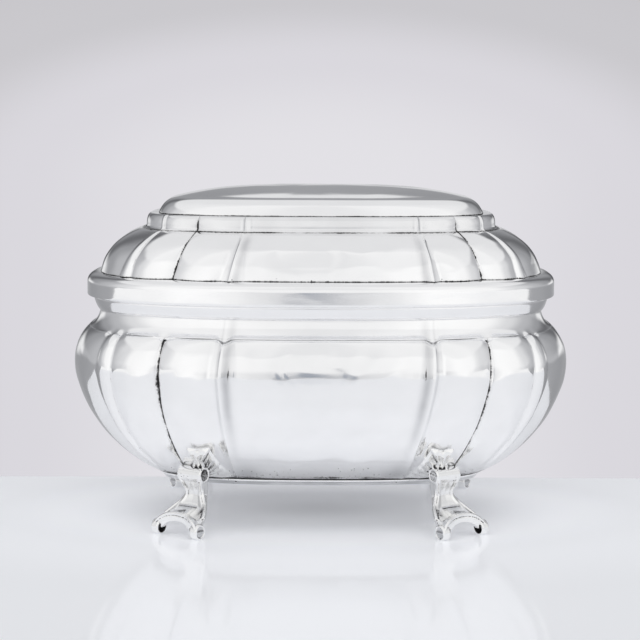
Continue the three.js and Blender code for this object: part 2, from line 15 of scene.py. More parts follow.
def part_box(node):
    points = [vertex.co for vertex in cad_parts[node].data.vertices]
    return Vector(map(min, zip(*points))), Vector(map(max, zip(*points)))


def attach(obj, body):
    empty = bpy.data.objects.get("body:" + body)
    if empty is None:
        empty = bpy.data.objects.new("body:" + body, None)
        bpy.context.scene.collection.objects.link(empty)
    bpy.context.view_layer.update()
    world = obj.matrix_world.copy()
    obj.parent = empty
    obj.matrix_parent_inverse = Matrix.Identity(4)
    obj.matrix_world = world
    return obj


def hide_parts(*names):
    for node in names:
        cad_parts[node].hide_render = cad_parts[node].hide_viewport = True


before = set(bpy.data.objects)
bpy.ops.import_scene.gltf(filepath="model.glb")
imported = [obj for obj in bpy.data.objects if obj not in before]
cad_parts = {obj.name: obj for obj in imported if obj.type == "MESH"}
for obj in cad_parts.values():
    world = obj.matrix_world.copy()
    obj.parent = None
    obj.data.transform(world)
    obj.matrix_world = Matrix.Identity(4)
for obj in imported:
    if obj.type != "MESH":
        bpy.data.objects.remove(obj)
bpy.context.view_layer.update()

MM = 0.001


def node_box(name):
    lo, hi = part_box(name)
    return np.array(lo) / MM, np.array(hi) / MM


body_lo, body_hi = node_box("body_shell")
base_lo, base_hi = node_box("base_moulding")
band_lo, band_hi = node_box("lid_band")
dome_lo, dome_hi = node_box("lid_shell")
top_lo, top_hi = node_box("lid_top_plate")
bezel_lo, bezel_hi = node_box("bezel_strip")
pin_lo, pin_hi = node_box("hinge_pin")

# Plan, as in the frame
squareness = 2.6
band_inset = 4.0
half_length = band_hi[0] + band_inset
half_width = band_inset - band_lo[1]
sheet = 1.0
seam = 0.06

# Levels
bowl_foot_z = body_lo[2]
bulge_z = bowl_foot_z + 33.0
shoulder_z = bulge_z + 10.5
neck_z = shoulder_z + 5.2
rim_top_z = body_hi[2]
band_bottom_z = rim_top_z + seam
ledge_z = band_hi[2]
band_top_z = ledge_z - 2.6
dome_foot_z = dome_lo[2]
step_top_z = dome_hi[2]
dome_top_z = step_top_z - 4.75
plateau_foot_z = top_lo[2]
plateau_top_z = top_hi[2]
plateau_crown = 3.3
plateau_edge_z = plateau_top_z - plateau_crown

# Insets from the widest outline
bowl_foot_inset = 24.2
base_inset = half_length - base_hi[0]
shoulder_inset = 4.4
neck_inset = 7.9
rim_overhang = 1.9
bezel_inset = half_length - bezel_hi[0]
ledge_inset = 8.0
dome_top_inset = 20.0
step_inset = 22.0
plateau_inset = half_length - top_hi[0]
plateau_edge_inset = plateau_inset + 6.1
crown_power = 3.2

# Lobing, as arc lengths from the front centre on the widest outline
front_rib_at = 30.7
crease_at = 49.5
end_rib_at = 68.3
rib_height = 1.0
lobe_crown = 1.0
crease_depth = 1.6
pattern_lean = 0.055
crease_lean = 0.75               # as a share of the front ribs' lean
end_rib_lean = 0.45
rib_at_bulge = 6.4
pattern_levels = [bowl_foot_z, bulge_z, shoulder_z, dome_foot_z, dome_top_z]
rib_widths = [3.0, rib_at_bulge, 5.4, 6.0, 2.6]
crease_wander = {-1: 1.8, 1: 0.0}    # further out at the foot
pattern_draws = [3.0, 0.0, 0.0, 0.0, 2.0]
panel_flank = {-1: 4.5, 1: 3.3}
lobe_flank = {-1: 3.0, 1: 2.7}

# Hinge
hinge_y = (pin_lo[1] + pin_hi[1]) / 2
split_z = (pin_lo[2] + pin_hi[2]) / 2
hinge_half = (pin_hi[0] - pin_lo[0]) / 2
pin_radius = (pin_hi[2] - pin_lo[2]) / 2


# Plan outline, found by the direction of its normal

def outline_table(samples=4000):
    share = np.linspace(0, 1, samples + 1)
    angle = math.pi / 2 * (1 - share ** 1.5)
    c = np.clip(np.cos(angle), 0, 1)
    s = np.clip(np.sin(angle), 0, 1)
    dual = squareness / (squareness - 1)
    support = ((half_length * c) ** dual + (half_width * s) ** dual) ** (1 / dual)
    k = support ** (dual - 1)
    x = half_length ** dual * c ** (dual - 1) / k
    y = half_width ** dual * s ** (dual - 1) / k
    arc = np.concatenate([[0], np.cumsum(np.hypot(np.diff(x), np.diff(y)))])
    return arc, x, y, c, s


outline = outline_table()
quarter_arc = outline[0][-1]


def outline_at(arc):
    """x, y and normal of the widest outline, as four rows."""
    return np.array([np.interp(arc, outline[0], column) for column in outline[1:]])


# Soft steps between 0 and 1

def soft_band(value, centre, width):
    """1 at the centre, falling away smoothly on both sides."""
    return np.exp(-(((value - centre) / width) ** 2))


def slope(value, start, length):
    """0 at the start and 1 a length further on. A negative length runs the other way."""
    return np.clip((value - start) / length, 0, 1)


def strongest(*layers):
    return np.maximum.reduce(layers)


# Lobing pattern

def pattern_lines(z, side):
    """Where the lines of the pattern cross a level, on the right (1) or left (-1) side."""
    rib = np.interp(z, pattern_levels, rib_widths)
    draw = np.interp(z, pattern_levels, pattern_draws)
    lean = side * pattern_lean * np.clip(z - bowl_foot_z, 0, dome_top_z - bowl_foot_z)
    share = rib / rib_at_bulge
    crest = front_rib_at - draw + lean
    crease = crease_at - draw + crease_lean * lean
    crease += crease_wander[side] * slope(z, bulge_z, bowl_foot_z - bulge_z) ** 1.5
    end_rib = end_rib_at - draw + end_rib_lean * lean
    return [
        0.0,
        crest - panel_flank[side] * share,
        crest,
        crest + lobe_flank[side] * share,
        crease,
        end_rib - rib / 2,
        end_rib + rib / 2,
        quarter_arc,
    ]


def evenly(steps):
    return np.arange(steps) / steps


def crowded_late(steps, power):
    return 1 - (1 - evenly(steps)) ** power


bead_height = 0.36
bead_width = 0.32
ridge_power = 1.12


def ridge(u, sharpness=0.1):
    """A pointed ridge: 1 at its crest, 0 where u is 1."""
    fall = (np.sqrt(u * u + sharpness ** 2) - sharpness) / (math.sqrt(1 + sharpness ** 2) - sharpness)
    return np.clip(1 - fall, 0, 1) ** ridge_power


def lobe(f):
    return 4 * lobe_crown * f * (1 - f) - crease_depth * f * f


# The stretches between the lines of the pattern: how each is divided, and its relief

spans = [
    (evenly(30), np.zeros_like),
    (crowded_late(22, 1.9), lambda f: rib_height * ridge(1 - f)),
    (evenly(18) ** 1.9, lambda f: rib_height * ridge(f)),
    (crowded_late(30, 1.7), lobe),
    (evenly(30) ** 1.7, lambda f: lobe(1 - f)),
    (evenly(16), lambda f: rib_height * (1 - (2 * f - 1) ** 2)),
    (crowded_late(30, 0.9), np.zeros_like),
]


def quarter(z, side):
    """Arc position, relief and distance to the nearest chased line, along a quarter."""
    knots = pattern_lines(z, side)
    arcs = [knots[i] + (knots[i + 1] - knots[i]) * f for i, (f, _) in enumerate(spans)]
    arcs = np.concatenate([*arcs, [quarter_arc]])
    reliefs = np.concatenate([*(relief(f) for f, relief in spans), [0.0]])
    to_crease = np.abs(arcs - knots[4])
    to_end_rib = np.minimum(np.abs(arcs - knots[5]), np.abs(arcs - knots[6]))
    from_crest = arcs - knots[2]
    reliefs += bead_height * soft_band(from_crest, 0, bead_width)
    return np.array([arcs, reliefs, to_crease, to_end_rib, from_crest])


def ring(z):
    """The whole outline anticlockwise from the front centre: x, y, nx, ny, relief and distances."""
    parts = []
    for side, sign_y, turned in ((1, -1, False), (1, 1, True), (-1, 1, False), (-1, -1, True)):
        q = quarter(z, side)
        if turned:
            q = q[:, :0:-1]
        else:
            q = q[:, :-1]
        x, y, nx, ny = outline_at(q[0])
        parts.append(np.vstack([side * x, sign_y * y, side * nx, sign_y * ny, q[1:]]))
    return np.hstack(parts)


class Row:
    """One level of a swept skin."""

    def __init__(self, inset, z, relief=0.0, groove=0.0, scale=1.0, dip=0.0):
        self.inset = inset
        self.z = z
        self.relief = relief
        self.groove = groove
        self.scale = scale
        self.dip = dip


groove_depth = 0.42
groove_width = 0.34
dip_width = 1.7
dip_shares = (0.8, 0.7, 1.0)     # at the creases, the end ribs and the front ribs


def row_points(row):
    """Points of a row, and how near each lies to the chased lines."""
    r = ring(row.z)
    groove = groove_depth * row.groove * soft_band(r[5], 0, groove_width)
    out = row.relief * r[4] - groove - row.inset
    x = row.scale * (r[0] + r[2] * out)
    y = row.scale * (r[1] + r[3] * out)
    dips = strongest(*(share * soft_band(line, 0, dip_width) for share, line in zip(dip_shares, r[5:8])))
    return np.column_stack([x, y, row.z - row.dip * dips]), r[5:8]


# Meshes

def make_object(name, points, faces, **attributes):
    mesh = bpy.data.meshes.new(name)
    mesh.from_pydata((np.asarray(points) * MM).tolist(), [], [list(map(int, f)) for f in faces])
    mesh.update()
    for key, value in attributes.items():
        layer = mesh.attributes.new(key, "FLOAT", "POINT")
        layer.data.foreach_set("value", np.full(len(points), value, np.float32))
    for polygon in mesh.polygons:
        polygon.use_smooth = True
    made = bpy.data.objects.new(name, mesh)
    bpy.context.scene.collection.objects.link(made)
    return made


def face_out(points, faces):
    """Turns the faces round if they enclose a negative volume."""
    six = 0.0
    for face in faces:
        a = points[face[0]]
        for i in range(1, len(face) - 1):
            six += np.dot(a, np.cross(points[face[i]], points[face[i + 1]]))
    return faces if six > 0 else [face[::-1] for face in faces]


def skin(rows):
    """Points, faces and line distances of a skin over the rows.

    A row of scale 0 is a point on the axis. Without such ends the last row joins the first.
    """
    points = []
    near = []
    rings = []
    count = 0
    for row in rows:
        if row.scale == 0:
            ring_points = np.array([[0.0, 0.0, row.z]])
            ring_near = np.full((3, 1), 99.0)
        else:
            ring_points, ring_near = row_points(row)
        rings.append((count, len(ring_points)))
        count += len(ring_points)
        points.append(ring_points)
        near.append(ring_near)
    if rows[0].scale != 0:
        rings.append(rings[0])
    faces = []
    for (a, na), (b, nb) in zip(rings, rings[1:]):
        j = np.arange(max(na, nb))
        if na > 1 and nb > 1:
            faces += np.column_stack([a + j, a + (j + 1) % na, b + (j + 1) % nb, b + j]).tolist()
        elif na > 1:
            faces += np.column_stack([a + j, a + (j + 1) % na, np.full_like(j, b)]).tolist()
        else:
            faces += np.column_stack([np.full_like(j, a), b + (j + 1) % nb, b + j]).tolist()
    points = np.vstack(points)
    return points, face_out(points, faces), np.hstack(near)


def bezier(corners, steps):
    """Points along a quadratic or cubic curve."""
    t = np.linspace(0, 1, steps + 1)[:, None]
    corners = np.array(corners, float)
    while len(corners) > 1:
        if corners.ndim == 2:
            corners = corners[:, None, :] * np.ones_like(t)[None]
        corners = corners[:-1] * (1 - t) + corners[1:] * t
    return corners[0]


def curve_rows(corners, steps, relief_from=0.0, relief_to=0.0, groove=0.0, skip_first=False):
    rows = []
    for i, (inset, z) in enumerate(bezier(corners, steps)):
        share = i / steps
        rows.append(Row(inset, z, relief_from + (relief_to - relief_from) * share, groove))
    return rows[1:] if skip_first else rows


def traced(start, *curves):
    """Rows along curves that follow on from a start, each given as its steps and its further corners."""
    rows = [Row(*start)]
    for steps, *corners in curves:
        rows += curve_rows([(rows[-1].inset, rows[-1].z), *corners], steps, skip_first=True)
    return rows


def inner_rows(rows, thickness=sheet):
    """The rows set in by the sheet's thickness, square to the profile."""
    made = []
    line = np.array([[r.inset, r.z] for r in rows])
    steps = np.diff(line, axis=0)
    steps /= np.linalg.norm(steps, axis=1)[:, None] + 1e-9
    normals = np.column_stack([steps[:, 1], -steps[:, 0]])
    for i, r in enumerate(rows):
        before = normals[max(i - 1, 0)]
        after = normals[min(i, len(normals) - 1)]
        stretch = thickness / max(1 + before @ after, 0.4)
        inset, z = line[i] + (before + after) * stretch
        made.append(Row(inset, z, r.relief, 0.0, r.scale, r.dip))
    return made


def gentle_dents(points, size):
    """A smooth inward wander between nothing and size, from waves in fixed directions."""
    waves = [
        (0.21, 0.13, 0.17, 0.4), (-0.16, 0.24, 0.11, 1.9), (0.09, -0.19, 0.27, 3.1),
        (0.43, 0.31, -0.36, 0.8), (-0.38, 0.29, 0.47, 2.6), (0.61, -0.52, 0.22, 5.2), (-0.31, 0.1, 0.72, 4.1),
    ]
    total = np.zeros(len(points))
    for kx, ky, kz, phase in waves:
        stretch = 0.25 / math.sqrt(kx * kx + ky * ky + kz * kz)
        total += stretch * np.sin(points @ np.array([kx, ky, kz]) + phase)
    return -size * np.clip(0.5 + total / 2, 0, 1)


def pushed_out(points, distance):
    """Moves points along their plan normals."""
    plan = points[:, :2] / (np.array([half_length, half_width]) ** 2)
    plan /= np.linalg.norm(plan, axis=1)[:, None] + 1e-9
    moved = points.copy()
    moved[:, :2] += plan * distance[:, None]
    return moved


# Bowl

bowl_flange = 4.6
relief_at_foot = 0.55
relief_at_shoulder = 0.6
inner_relief = 0.9               # as a share of the relief outside
shoulder_dip = 0.8
throat_dip_rows = 9
bowl_dents = 0.24


def bowl_face():
    lower = [
        (bowl_foot_inset, bowl_foot_z),
        (bowl_foot_inset * 0.465, bowl_foot_z + (bulge_z - bowl_foot_z) * 0.18),
        (0, bulge_z - (bulge_z - bowl_foot_z) * 0.385),
        (0, bulge_z),
    ]
    upper = [
        (0, bulge_z),
        (0, bulge_z + (shoulder_z - bulge_z) * 0.55),
        (shoulder_inset * 0.62, shoulder_z - (shoulder_z - bulge_z) * 0.12),
        (shoulder_inset, shoulder_z),
    ]
    step = [
        (shoulder_inset, shoulder_z),
        (shoulder_inset + 0.15, shoulder_z + 0.22),
        (shoulder_inset + 0.4, shoulder_z + 0.25),
    ]
    neck = [
        (shoulder_inset + 0.4, shoulder_z + 0.25),
        (neck_inset - 0.6, shoulder_z + (neck_z - shoulder_z) * 0.35),
        (neck_inset, neck_z),
    ]
    shoulder = curve_rows(upper, 30, 1, relief_at_shoulder, 1, True)
    for i, r in enumerate(shoulder):
        r.dip = shoulder_dip * ((i + 1) / len(shoulder)) ** 4
    steps = curve_rows(step, 4, relief_at_shoulder, 0, 0, True)
    for r in steps:
        r.dip = shoulder_dip
    throat = curve_rows(neck, 18, 0, 0, 0, True)
    for i, r in enumerate(throat):
        r.dip = shoulder_dip * max(0.0, 1 - (i + 1) / throat_dip_rows) ** 2
    return [
        *curve_rows(lower, 44, relief_at_foot, 1, 1), *shoulder, *steps, *throat,
        Row(neck_inset, rim_top_z),
    ]


def line_grime(points, near, strength_crease, strength_end):
    """Tarnish that gathers unevenly along the chased lines, with a broader painted shade beside them."""
    z = points[:, 2]
    side = np.sign(points[:, 0])
    wander = 0.6 * np.sin(1.15 * z + 1.3 * side) + 0.4 * np.sin(2.7 * z + 2.1 * side)
    thick = soft_band(z, bulge_z - 3.0, 5.5) * np.where(side < 0, 1.0, 0.35)
    core = (0.8 + 0.16 * wander + 0.2 * thick) * soft_band(near[0], 0, 0.28 + 0.08 * wander)
    # The broad halo is painted shade beside the creases
    halo = (0.6 + 0.1 * wander + 0.12 * thick) * soft_band(near[0], 0, 0.7 + 0.3 * thick)
    end_line = (0.85 + 0.3 * wander) * soft_band(near[1], 0, 0.3)
    return np.maximum(strength_crease * np.maximum(core, halo), strength_end * end_line)


def rib_film(near, strength):
    """A grey film in the hollow on the panel's side of each front rib, and a thin one on its other side:
    partly tarnish, partly a painted reflection of dark things nearby.
    """
    panel_side = soft_band(near[2], -1.9, 1.25)
    lobe_side = 0.6 * soft_band(near[2], 0.75, 0.4)
    crest = 1 - soft_band(near[2], 0, 0.4)
    return strength * np.maximum(panel_side, lobe_side) * crest


def build_body_shell():
    flange = bowl_foot_inset + bowl_flange
    outer = [Row(flange, bowl_foot_z), *bowl_face()]
    inner = inner_rows(outer)
    inner[0].inset = flange
    inner[-1].z = rim_top_z
    for r in inner:
        r.relief *= inner_relief
    points, faces, near = skin([*outer, *inner[::-1]])
    z = points[:, 2]
    dents = gentle_dents(points, bowl_dents) * slope(z, bowl_foot_z, 6) * slope(z, shoulder_z, -4)
    points = pushed_out(points, dents)
    x = points[:, 0]
    foot_line = 0.75 + 0.4 * np.clip(np.abs(x) / half_length * 2, 0, 1)
    uneven = 0.62 + 0.16 * np.sin(x / 6.0 + 1.0) + 0.08 * np.sin(x / 1.9)
    grime = strongest(
        line_grime(points, near, 1.15, 0.55) * slope(z, shoulder_z + 0.3, -0.6),
        # Dark along the bowl's foot where it meets the base ring: painted shade in the crevice
        1.15 * soft_band(z, bowl_foot_z, 0.55 * foot_line),
        uneven * soft_band(z, bowl_foot_z + 0.8, 0.8),
        0.5 * soft_band(z, shoulder_z + 0.3, 0.2),
        1.1 * soft_band(near[2], -2.6, 0.24) * soft_band(z, bulge_z + 1.3, 2.2),
    )
    spots = strongest(
        0.2 + 0.8 * soft_band(z, bowl_foot_z, 7),
        soft_band(near[0], 0, 1.0) * (0.45 + 0.55 * soft_band(z, bulge_z - 1.0, 11.0)),
        0.75 * soft_band(near[2], -1.9, 1.4) * soft_band(z, bulge_z - 4, 9),
    )
    film = strongest(
        rib_film(near, 0.85) * soft_band(z, bulge_z - 3, 16.0),
        0.35 * soft_band(z, bowl_foot_z, 2.2),
        0.9 * soft_band(near[2], -3.5, 5.0) * soft_band(z, bowl_foot_z + 1.0, 3.5),
    )
    return make_object("casket_bowl", points, faces, grime=grime, spots=spots, film=film)


def build_base_moulding():
    low = base_lo[2]
    high = base_hi[2]
    inner = base_inset + 4.3
    bead = 0.42
    points, faces, _ = skin(traced(
        (inner, low),
        (1, (base_inset + 1.5, low)),
        (5, (base_inset + 1.2, low), (base_inset + 1.1, low + 0.2)),
        (6, (base_inset + 0.6, high - bead * 2), (base_inset + 0.12, high - bead * 1.8)),
        (6, (base_inset - 0.1, high - bead), (base_inset + 0.15, high - 0.1)),
        (3, (base_inset + 0.25, high), (base_inset + 0.5, high)),
        (1, (inner, high)),
    ))
    z = points[:, 2]
    # Dark at the top where the bowl sits, painted shade in the crevice; grey on the lower face, a painted
    # reflection of the shadowed table
    grime = soft_band(z, high, 0.16) + 0.3 * soft_band(z, low + 0.5, 0.2)
    film = 0.8 * slope(z, high - bead * 2, -0.2)
    return make_object("base_ring", points, faces, grime=grime, spots=0.7, film=film)


def build_base_plate():
    edge = bowl_foot_inset + 4.9
    scales = (0, 0.5, 1.0)
    rows = [Row(edge, bowl_foot_z, scale=scale) for scale in scales]
    rows += [Row(edge, bowl_foot_z + sheet, scale=scale) for scale in scales[::-1]]
    points, faces, _ = skin(rows)
    return make_object("bowl_floor", points, faces, grime=0.15, spots=0.3)


def build_rim_moulding():
    inner = neck_inset - 0.05
    outer = neck_inset - rim_overhang
    lowest = neck_z + 0.4
    points, faces, _ = skin(traced(
        (inner, rim_top_z),
        (1, (inner, lowest + 0.1)),
        (4, (inner - 0.1, lowest), (inner - 0.5, lowest)),
        (16, (outer + 0.5, lowest + 1.1), (outer, rim_top_z - 0.8)),
        (6, (outer - 0.02, rim_top_z - 0.2), (outer + 0.3, rim_top_z)),
    ))
    grime = 0.45 * soft_band(points[:, 2], lowest, 0.25) + 0.3 * soft_band(points[:, 2], rim_top_z, 0.1)
    return make_object("mouth_rim", points, faces, grime=grime, spots=0.3)


def build_bezel():
    low = bezel_lo[2]
    high = bezel_hi[2]
    inner = bezel_inset + sheet
    rounding = 0.2
    points, faces, _ = skin(traced(
        (bezel_inset, low),
        (1, (bezel_inset, high - rounding)),
        (3, (bezel_inset, high), (bezel_inset + rounding, high)),
        (1, (inner - rounding, high)),
        (3, (inner, high), (inner, high - rounding)),
        (1, (inner, low)),
    ))
    return make_object("mouth_bezel", points, faces, grime=0.1, spots=0.2)


# Lid

relief_at_ledge = 0.85
relief_at_dome_top = 0.6
relief_on_step = 0.5
dome_dents = 0.26
band_dents = 0.03
crown_dents = 0.12
crown_rows = 26


def build_lid_band():
    flange = bezel_inset - 1.0
    inner_edge = ledge_inset + 1.2
    outer = traced(
        (flange, band_bottom_z),
        (1, (band_inset + 0.35, band_bottom_z)),
        (4, (band_inset, band_bottom_z), (band_inset, band_bottom_z + 0.4)),
        (8, (band_inset, band_top_z)),
        (18, (band_inset + 0.3, ledge_z - 0.3), (ledge_inset, ledge_z)),
        (1, (inner_edge, ledge_z)),
    )
    inner = inner_rows(outer)
    inner[0].inset = flange
    inner[-1].inset = inner_edge
    points, faces, _ = skin([*outer, *inner[::-1]])
    points = pushed_out(points, gentle_dents(points, band_dents))
    return make_object("lid_rim_band", points, faces, grime=0.02, spots=0.15)


def dome_rows():
    rise = dome_top_z - dome_foot_z
    corners = [
        (ledge_inset, dome_foot_z - 0.28),
        (ledge_inset + rise * 0.1, dome_foot_z + rise * 0.347),
        (ledge_inset + rise * 0.19, dome_foot_z + rise * 0.693),
        (dome_top_inset, dome_top_z),
    ]
    return curve_rows(corners, 44, relief_at_ledge, relief_at_dome_top, 1)


def build_lid_shell():
    seat = plateau_inset + 2.3
    rise = step_top_z - dome_top_z
    riser_z = dome_top_z + rise * 0.3
    lip = step_inset + 1.5
    outer = [
        *dome_rows(),
        *curve_rows([
            (dome_top_inset, dome_top_z), (step_inset, dome_top_z + 0.3), (step_inset, riser_z),
        ], 10, relief_at_dome_top, relief_on_step, 1, True),
        *curve_rows([
            (step_inset, riser_z), (step_inset + 0.1, dome_top_z + rise * 0.95), (lip, step_top_z),
        ], 14, relief_on_step, relief_on_step * 0.7, 0.8, True),
        *curve_rows([(lip, step_top_z), (step_inset + 3.0, step_top_z)], 3, relief_on_step * 0.7, 0, 0, True),
        Row(seat, step_top_z),
    ]
    inner = inner_rows(outer)
    inner[0].z = dome_foot_z
    inner[-1].inset = seat
    for r in inner:
        r.relief *= inner_relief
    inner = inner[:-16:2] + inner[-16:]
    points, faces, near = skin([*outer, *inner[::-1]])
    z = points[:, 2]
    dents = gentle_dents(points, dome_dents) * slope(z, dome_foot_z, 3) * slope(z, dome_top_z, -3)
    points = pushed_out(points, dents)
    grime = strongest(
        line_grime(points, near, 1.15, 0.6) * slope(z, step_top_z, -2.0),
        0.8 * soft_band(z, dome_foot_z - 0.28, 0.45),
        0.75 * soft_band(z, dome_top_z + 0.3, 0.3),
    )
    spots = 0.15 + 0.6 * soft_band(z, dome_foot_z, 1.6) + 0.5 * soft_band(z, dome_top_z, 1.2)
    spots = np.maximum(spots, 0.8 * soft_band(near[0], 0, 0.8))
    film = np.maximum(rib_film(near, 0.6) * slope(z, dome_top_z, -2.0), 0.3 * slope(z, dome_top_z + 0.4, 0.5))
    return make_object("lid_dome", points, faces, grime=grime, spots=spots, film=film)


def build_lid_top():
    rise = plateau_edge_z - plateau_foot_z
    wall = curve_rows([
        (plateau_inset, plateau_foot_z - 0.25),
        (plateau_inset + 1.0, plateau_foot_z + rise * 0.48),
        (plateau_inset + 2.7, plateau_foot_z + rise * 0.88),
        (plateau_edge_inset, plateau_edge_z),
    ], 22)
    scales = [1 - i / crown_rows for i in range(1, crown_rows)]

    def crown(inset, z, shares):
        """Rows over the top from an edge at that inset and height to the middle."""
        rows = [Row(inset, z + plateau_crown * (1 - s ** crown_power), scale=s) for s in shares]
        return [*rows, Row(inset, z + plateau_crown, scale=0)]

    inside = inner_rows(wall)
    inside[0].z = wall[0].z
    outside_top = crown(plateau_edge_inset, plateau_edge_z, scales)
    inside_top = crown(inside[-1].inset, inside[-1].z, scales[::3])
    points, faces, _ = skin([*inside_top[::-1], *inside[::-2], *wall, *outside_top])
    z = points[:, 2]
    outward = np.clip(1 - np.abs(points[:, 0]) / half_length, 0, 1)
    points[:, 2] += crown_dents * gentle_dents(points, 1.0) * slope(z, plateau_edge_z, 1.5) * outward
    grime = 0.8 * soft_band(z, plateau_foot_z - 0.2, 0.3)
    return make_object("lid_plateau", points, faces, grime=grime, spots=0.1)


# Feet, shaped facing -Y at the origin and then turned into place

foot_turn = 35.0
foot_x = half_length - 37.0
foot_y = half_width - 20.0
foot_clearance = base_lo[2]
toe_half_spread = 8.5
toe_radius = 2.3
toe_length = 2.6
toe_reach = 6.9
toe_wear = 0.15
toe_hollow = 1.9
leg_edge_radius = 0.6
knuckle_z = bowl_foot_z + 2.3
knuckle_reach = -0.3
knuckle_half = 4.4
roll_bar_radius = 2.35
arch_half = 6.0
arch_height = 4.4
band_half = 9.0
band_top = 7.3
foot_lean = 0.05             # of the right-hand feet, sideways for each mm of height
foot_draw = {-1: 0.5, 1: 0.4}
foot_voxel = 0.2


def band_faces(count, sides, closed=False):
    """Faces between rings of the same number of points, the last joined to the first if closed."""
    faces = []
    for i in range(count if closed else count - 1):
        n = (i + 1) % count
        for j in range(sides):
            k = (j + 1) % sides
            faces.append([i * sides + j, i * sides + k, n * sides + k, n * sides + j])
    return faces


def capped_faces(count, sides):
    """Faces between rings, with one over each end."""
    ends = [list(range(sides))[::-1], [(count - 1) * sides + j for j in range(sides)]]
    return band_faces(count, sides) + ends


def tube(path, radius, sides):
    """A closed round tube along points."""
    path = np.array(path, float)
    count = len(path)
    tangents = np.gradient(path, axis=0)
    tangents /= np.linalg.norm(tangents, axis=1)[:, None]
    points = []
    turns = np.linspace(0, 2 * math.pi, sides, endpoint=False)[:, None]
    across = np.array([0, 1.0, 0])
    for place, t in zip(path, tangents):
        u = across - t * (across @ t)
        u /= np.linalg.norm(u)
        v = np.cross(t, u)
        points.append(place + radius * np.cos(turns) * u + radius * np.sin(turns) * v)
    points = np.vstack([*points, path[:1], path[-1:]])
    faces = band_faces(count, sides)
    first = count * sides
    last = (count - 1) * sides
    for j in range(sides):
        k = (j + 1) % sides
        faces += [[first, k, j], [first + 1, last + j, last + k]]
    return points, face_out(points, faces)


def turned(profile, y, z, sides=32):
    """A closed (x, radius) profile turned round an axis along X."""
    turns = np.linspace(0, 2 * math.pi, sides, endpoint=False)
    points = np.vstack([
        np.column_stack([np.full(sides, x), y + r * np.cos(turns), z + r * np.sin(turns)]) for x, r in profile
    ])
    return points, face_out(points, band_faces(len(profile), sides, closed=True))


def roll(side, inner, outer, reach, z, radius, hollow):
    """A scroll's roll: a rimmed disc on its outer end, and a hollow of that depth in its inner end."""
    bore = radius * 0.76
    profile = [
        (outer - 0.35, 0.01), (outer - 0.35, radius * 0.68), (outer, radius * 0.8), (outer, radius - 0.2),
        (outer - 0.2, radius), (inner + 0.2, radius), (inner, radius - 0.2), (inner, bore),
        (inner + hollow, bore * 0.8), (inner + hollow, 0.01),
    ]
    return turned([(side * x, r) for x, r in profile], -reach, z)


def strap(stations):
    """A closed plate through stations, each its half width, the reach and height of its face, half its
    thickness, the tilt of its face from upright in degrees, and how fast its sides fall away."""
    corner = [
        (-1, -0.7), (-0.9, -1), (-0.4, -1), (0, -1), (0.4, -1), (0.9, -1), (1, -0.7), (1, 0.7), (0.93, 1),
        (0.8, 1), (0.6, 0.8), (0, 0.74), (-0.6, 0.8), (-0.8, 1), (-0.93, 1), (-1, 0.7),
    ]
    points = []
    for half, reach, z, thick, tilt, fall in stations:
        c = math.cos(math.radians(tilt))
        s = math.sin(math.radians(tilt))
        for a, b in corner:
            depth = thick * (b - 1)
            points.append([half * a, -(reach + depth * c), z + depth * s - fall * (half * a) ** 2])
    points = np.array(points)
    return points, face_out(points, capped_faces(len(stations), len(corner)))


def smooth_stations(stations, steps=6):
    """Catmull-Rom through the stations."""
    s = np.array(stations, float)
    s = np.vstack([2 * s[0] - s[1], s, 2 * s[-1] - s[-2]])
    made = []
    for i in range(1, len(s) - 2):
        a, b, c, d = s[i - 1:i + 3]
        for t in evenly(steps):
            made.append(0.5 * ((2 * b) + (c - a) * t + (2 * a - 5 * b + 4 * c - d) * t ** 2
                               + (3 * b - a - 3 * c + d) * t ** 3))
    made.append(s[-2])
    return made


def joined(parts):
    points = []
    faces = []
    count = 0
    for p, f in parts:
        points.append(np.asarray(p))
        faces += [[count + i for i in face] for face in f]
        count += len(p)
    return np.vstack(points), faces


def arch_band():
    """The broad band over the arch, flowing over both rolled toes, with a bead along its top."""
    corners = []
    count = 61
    for x in np.linspace(-1, 1, count) * (toe_half_spread - 0.05):
        share = abs(x) / toe_half_spread
        top = band_top * (1 - (abs(x) / band_half) ** 2.6) ** 0.62
        low = max(arch_height * math.sqrt(max(0.0, 1 - (x / arch_half) ** 2)), toe_radius - 0.3)
        low = min(low, top - 0.5)
        front = toe_reach + 0.8 + 1.35 * share ** 2
        back = front - 1.7 - 2.2 * share ** 4
        groove = min(1.1, (top - low) * 0.4)
        section = [
            (front - 0.35, low), (front, low + 0.25), (front, top - groove - 0.25),
            (front - 0.3, top - groove), (front + 0.1, top - groove + 0.25), (front + 0.1, top - 0.3),
            (front - 0.3, top), (back, top - 0.1), (back, low + 0.1),
        ]
        corners += [[x, -reach, z] for reach, z in section]
    points = np.array(corners)
    return points, face_out(points, capped_faces(count, len(section)))


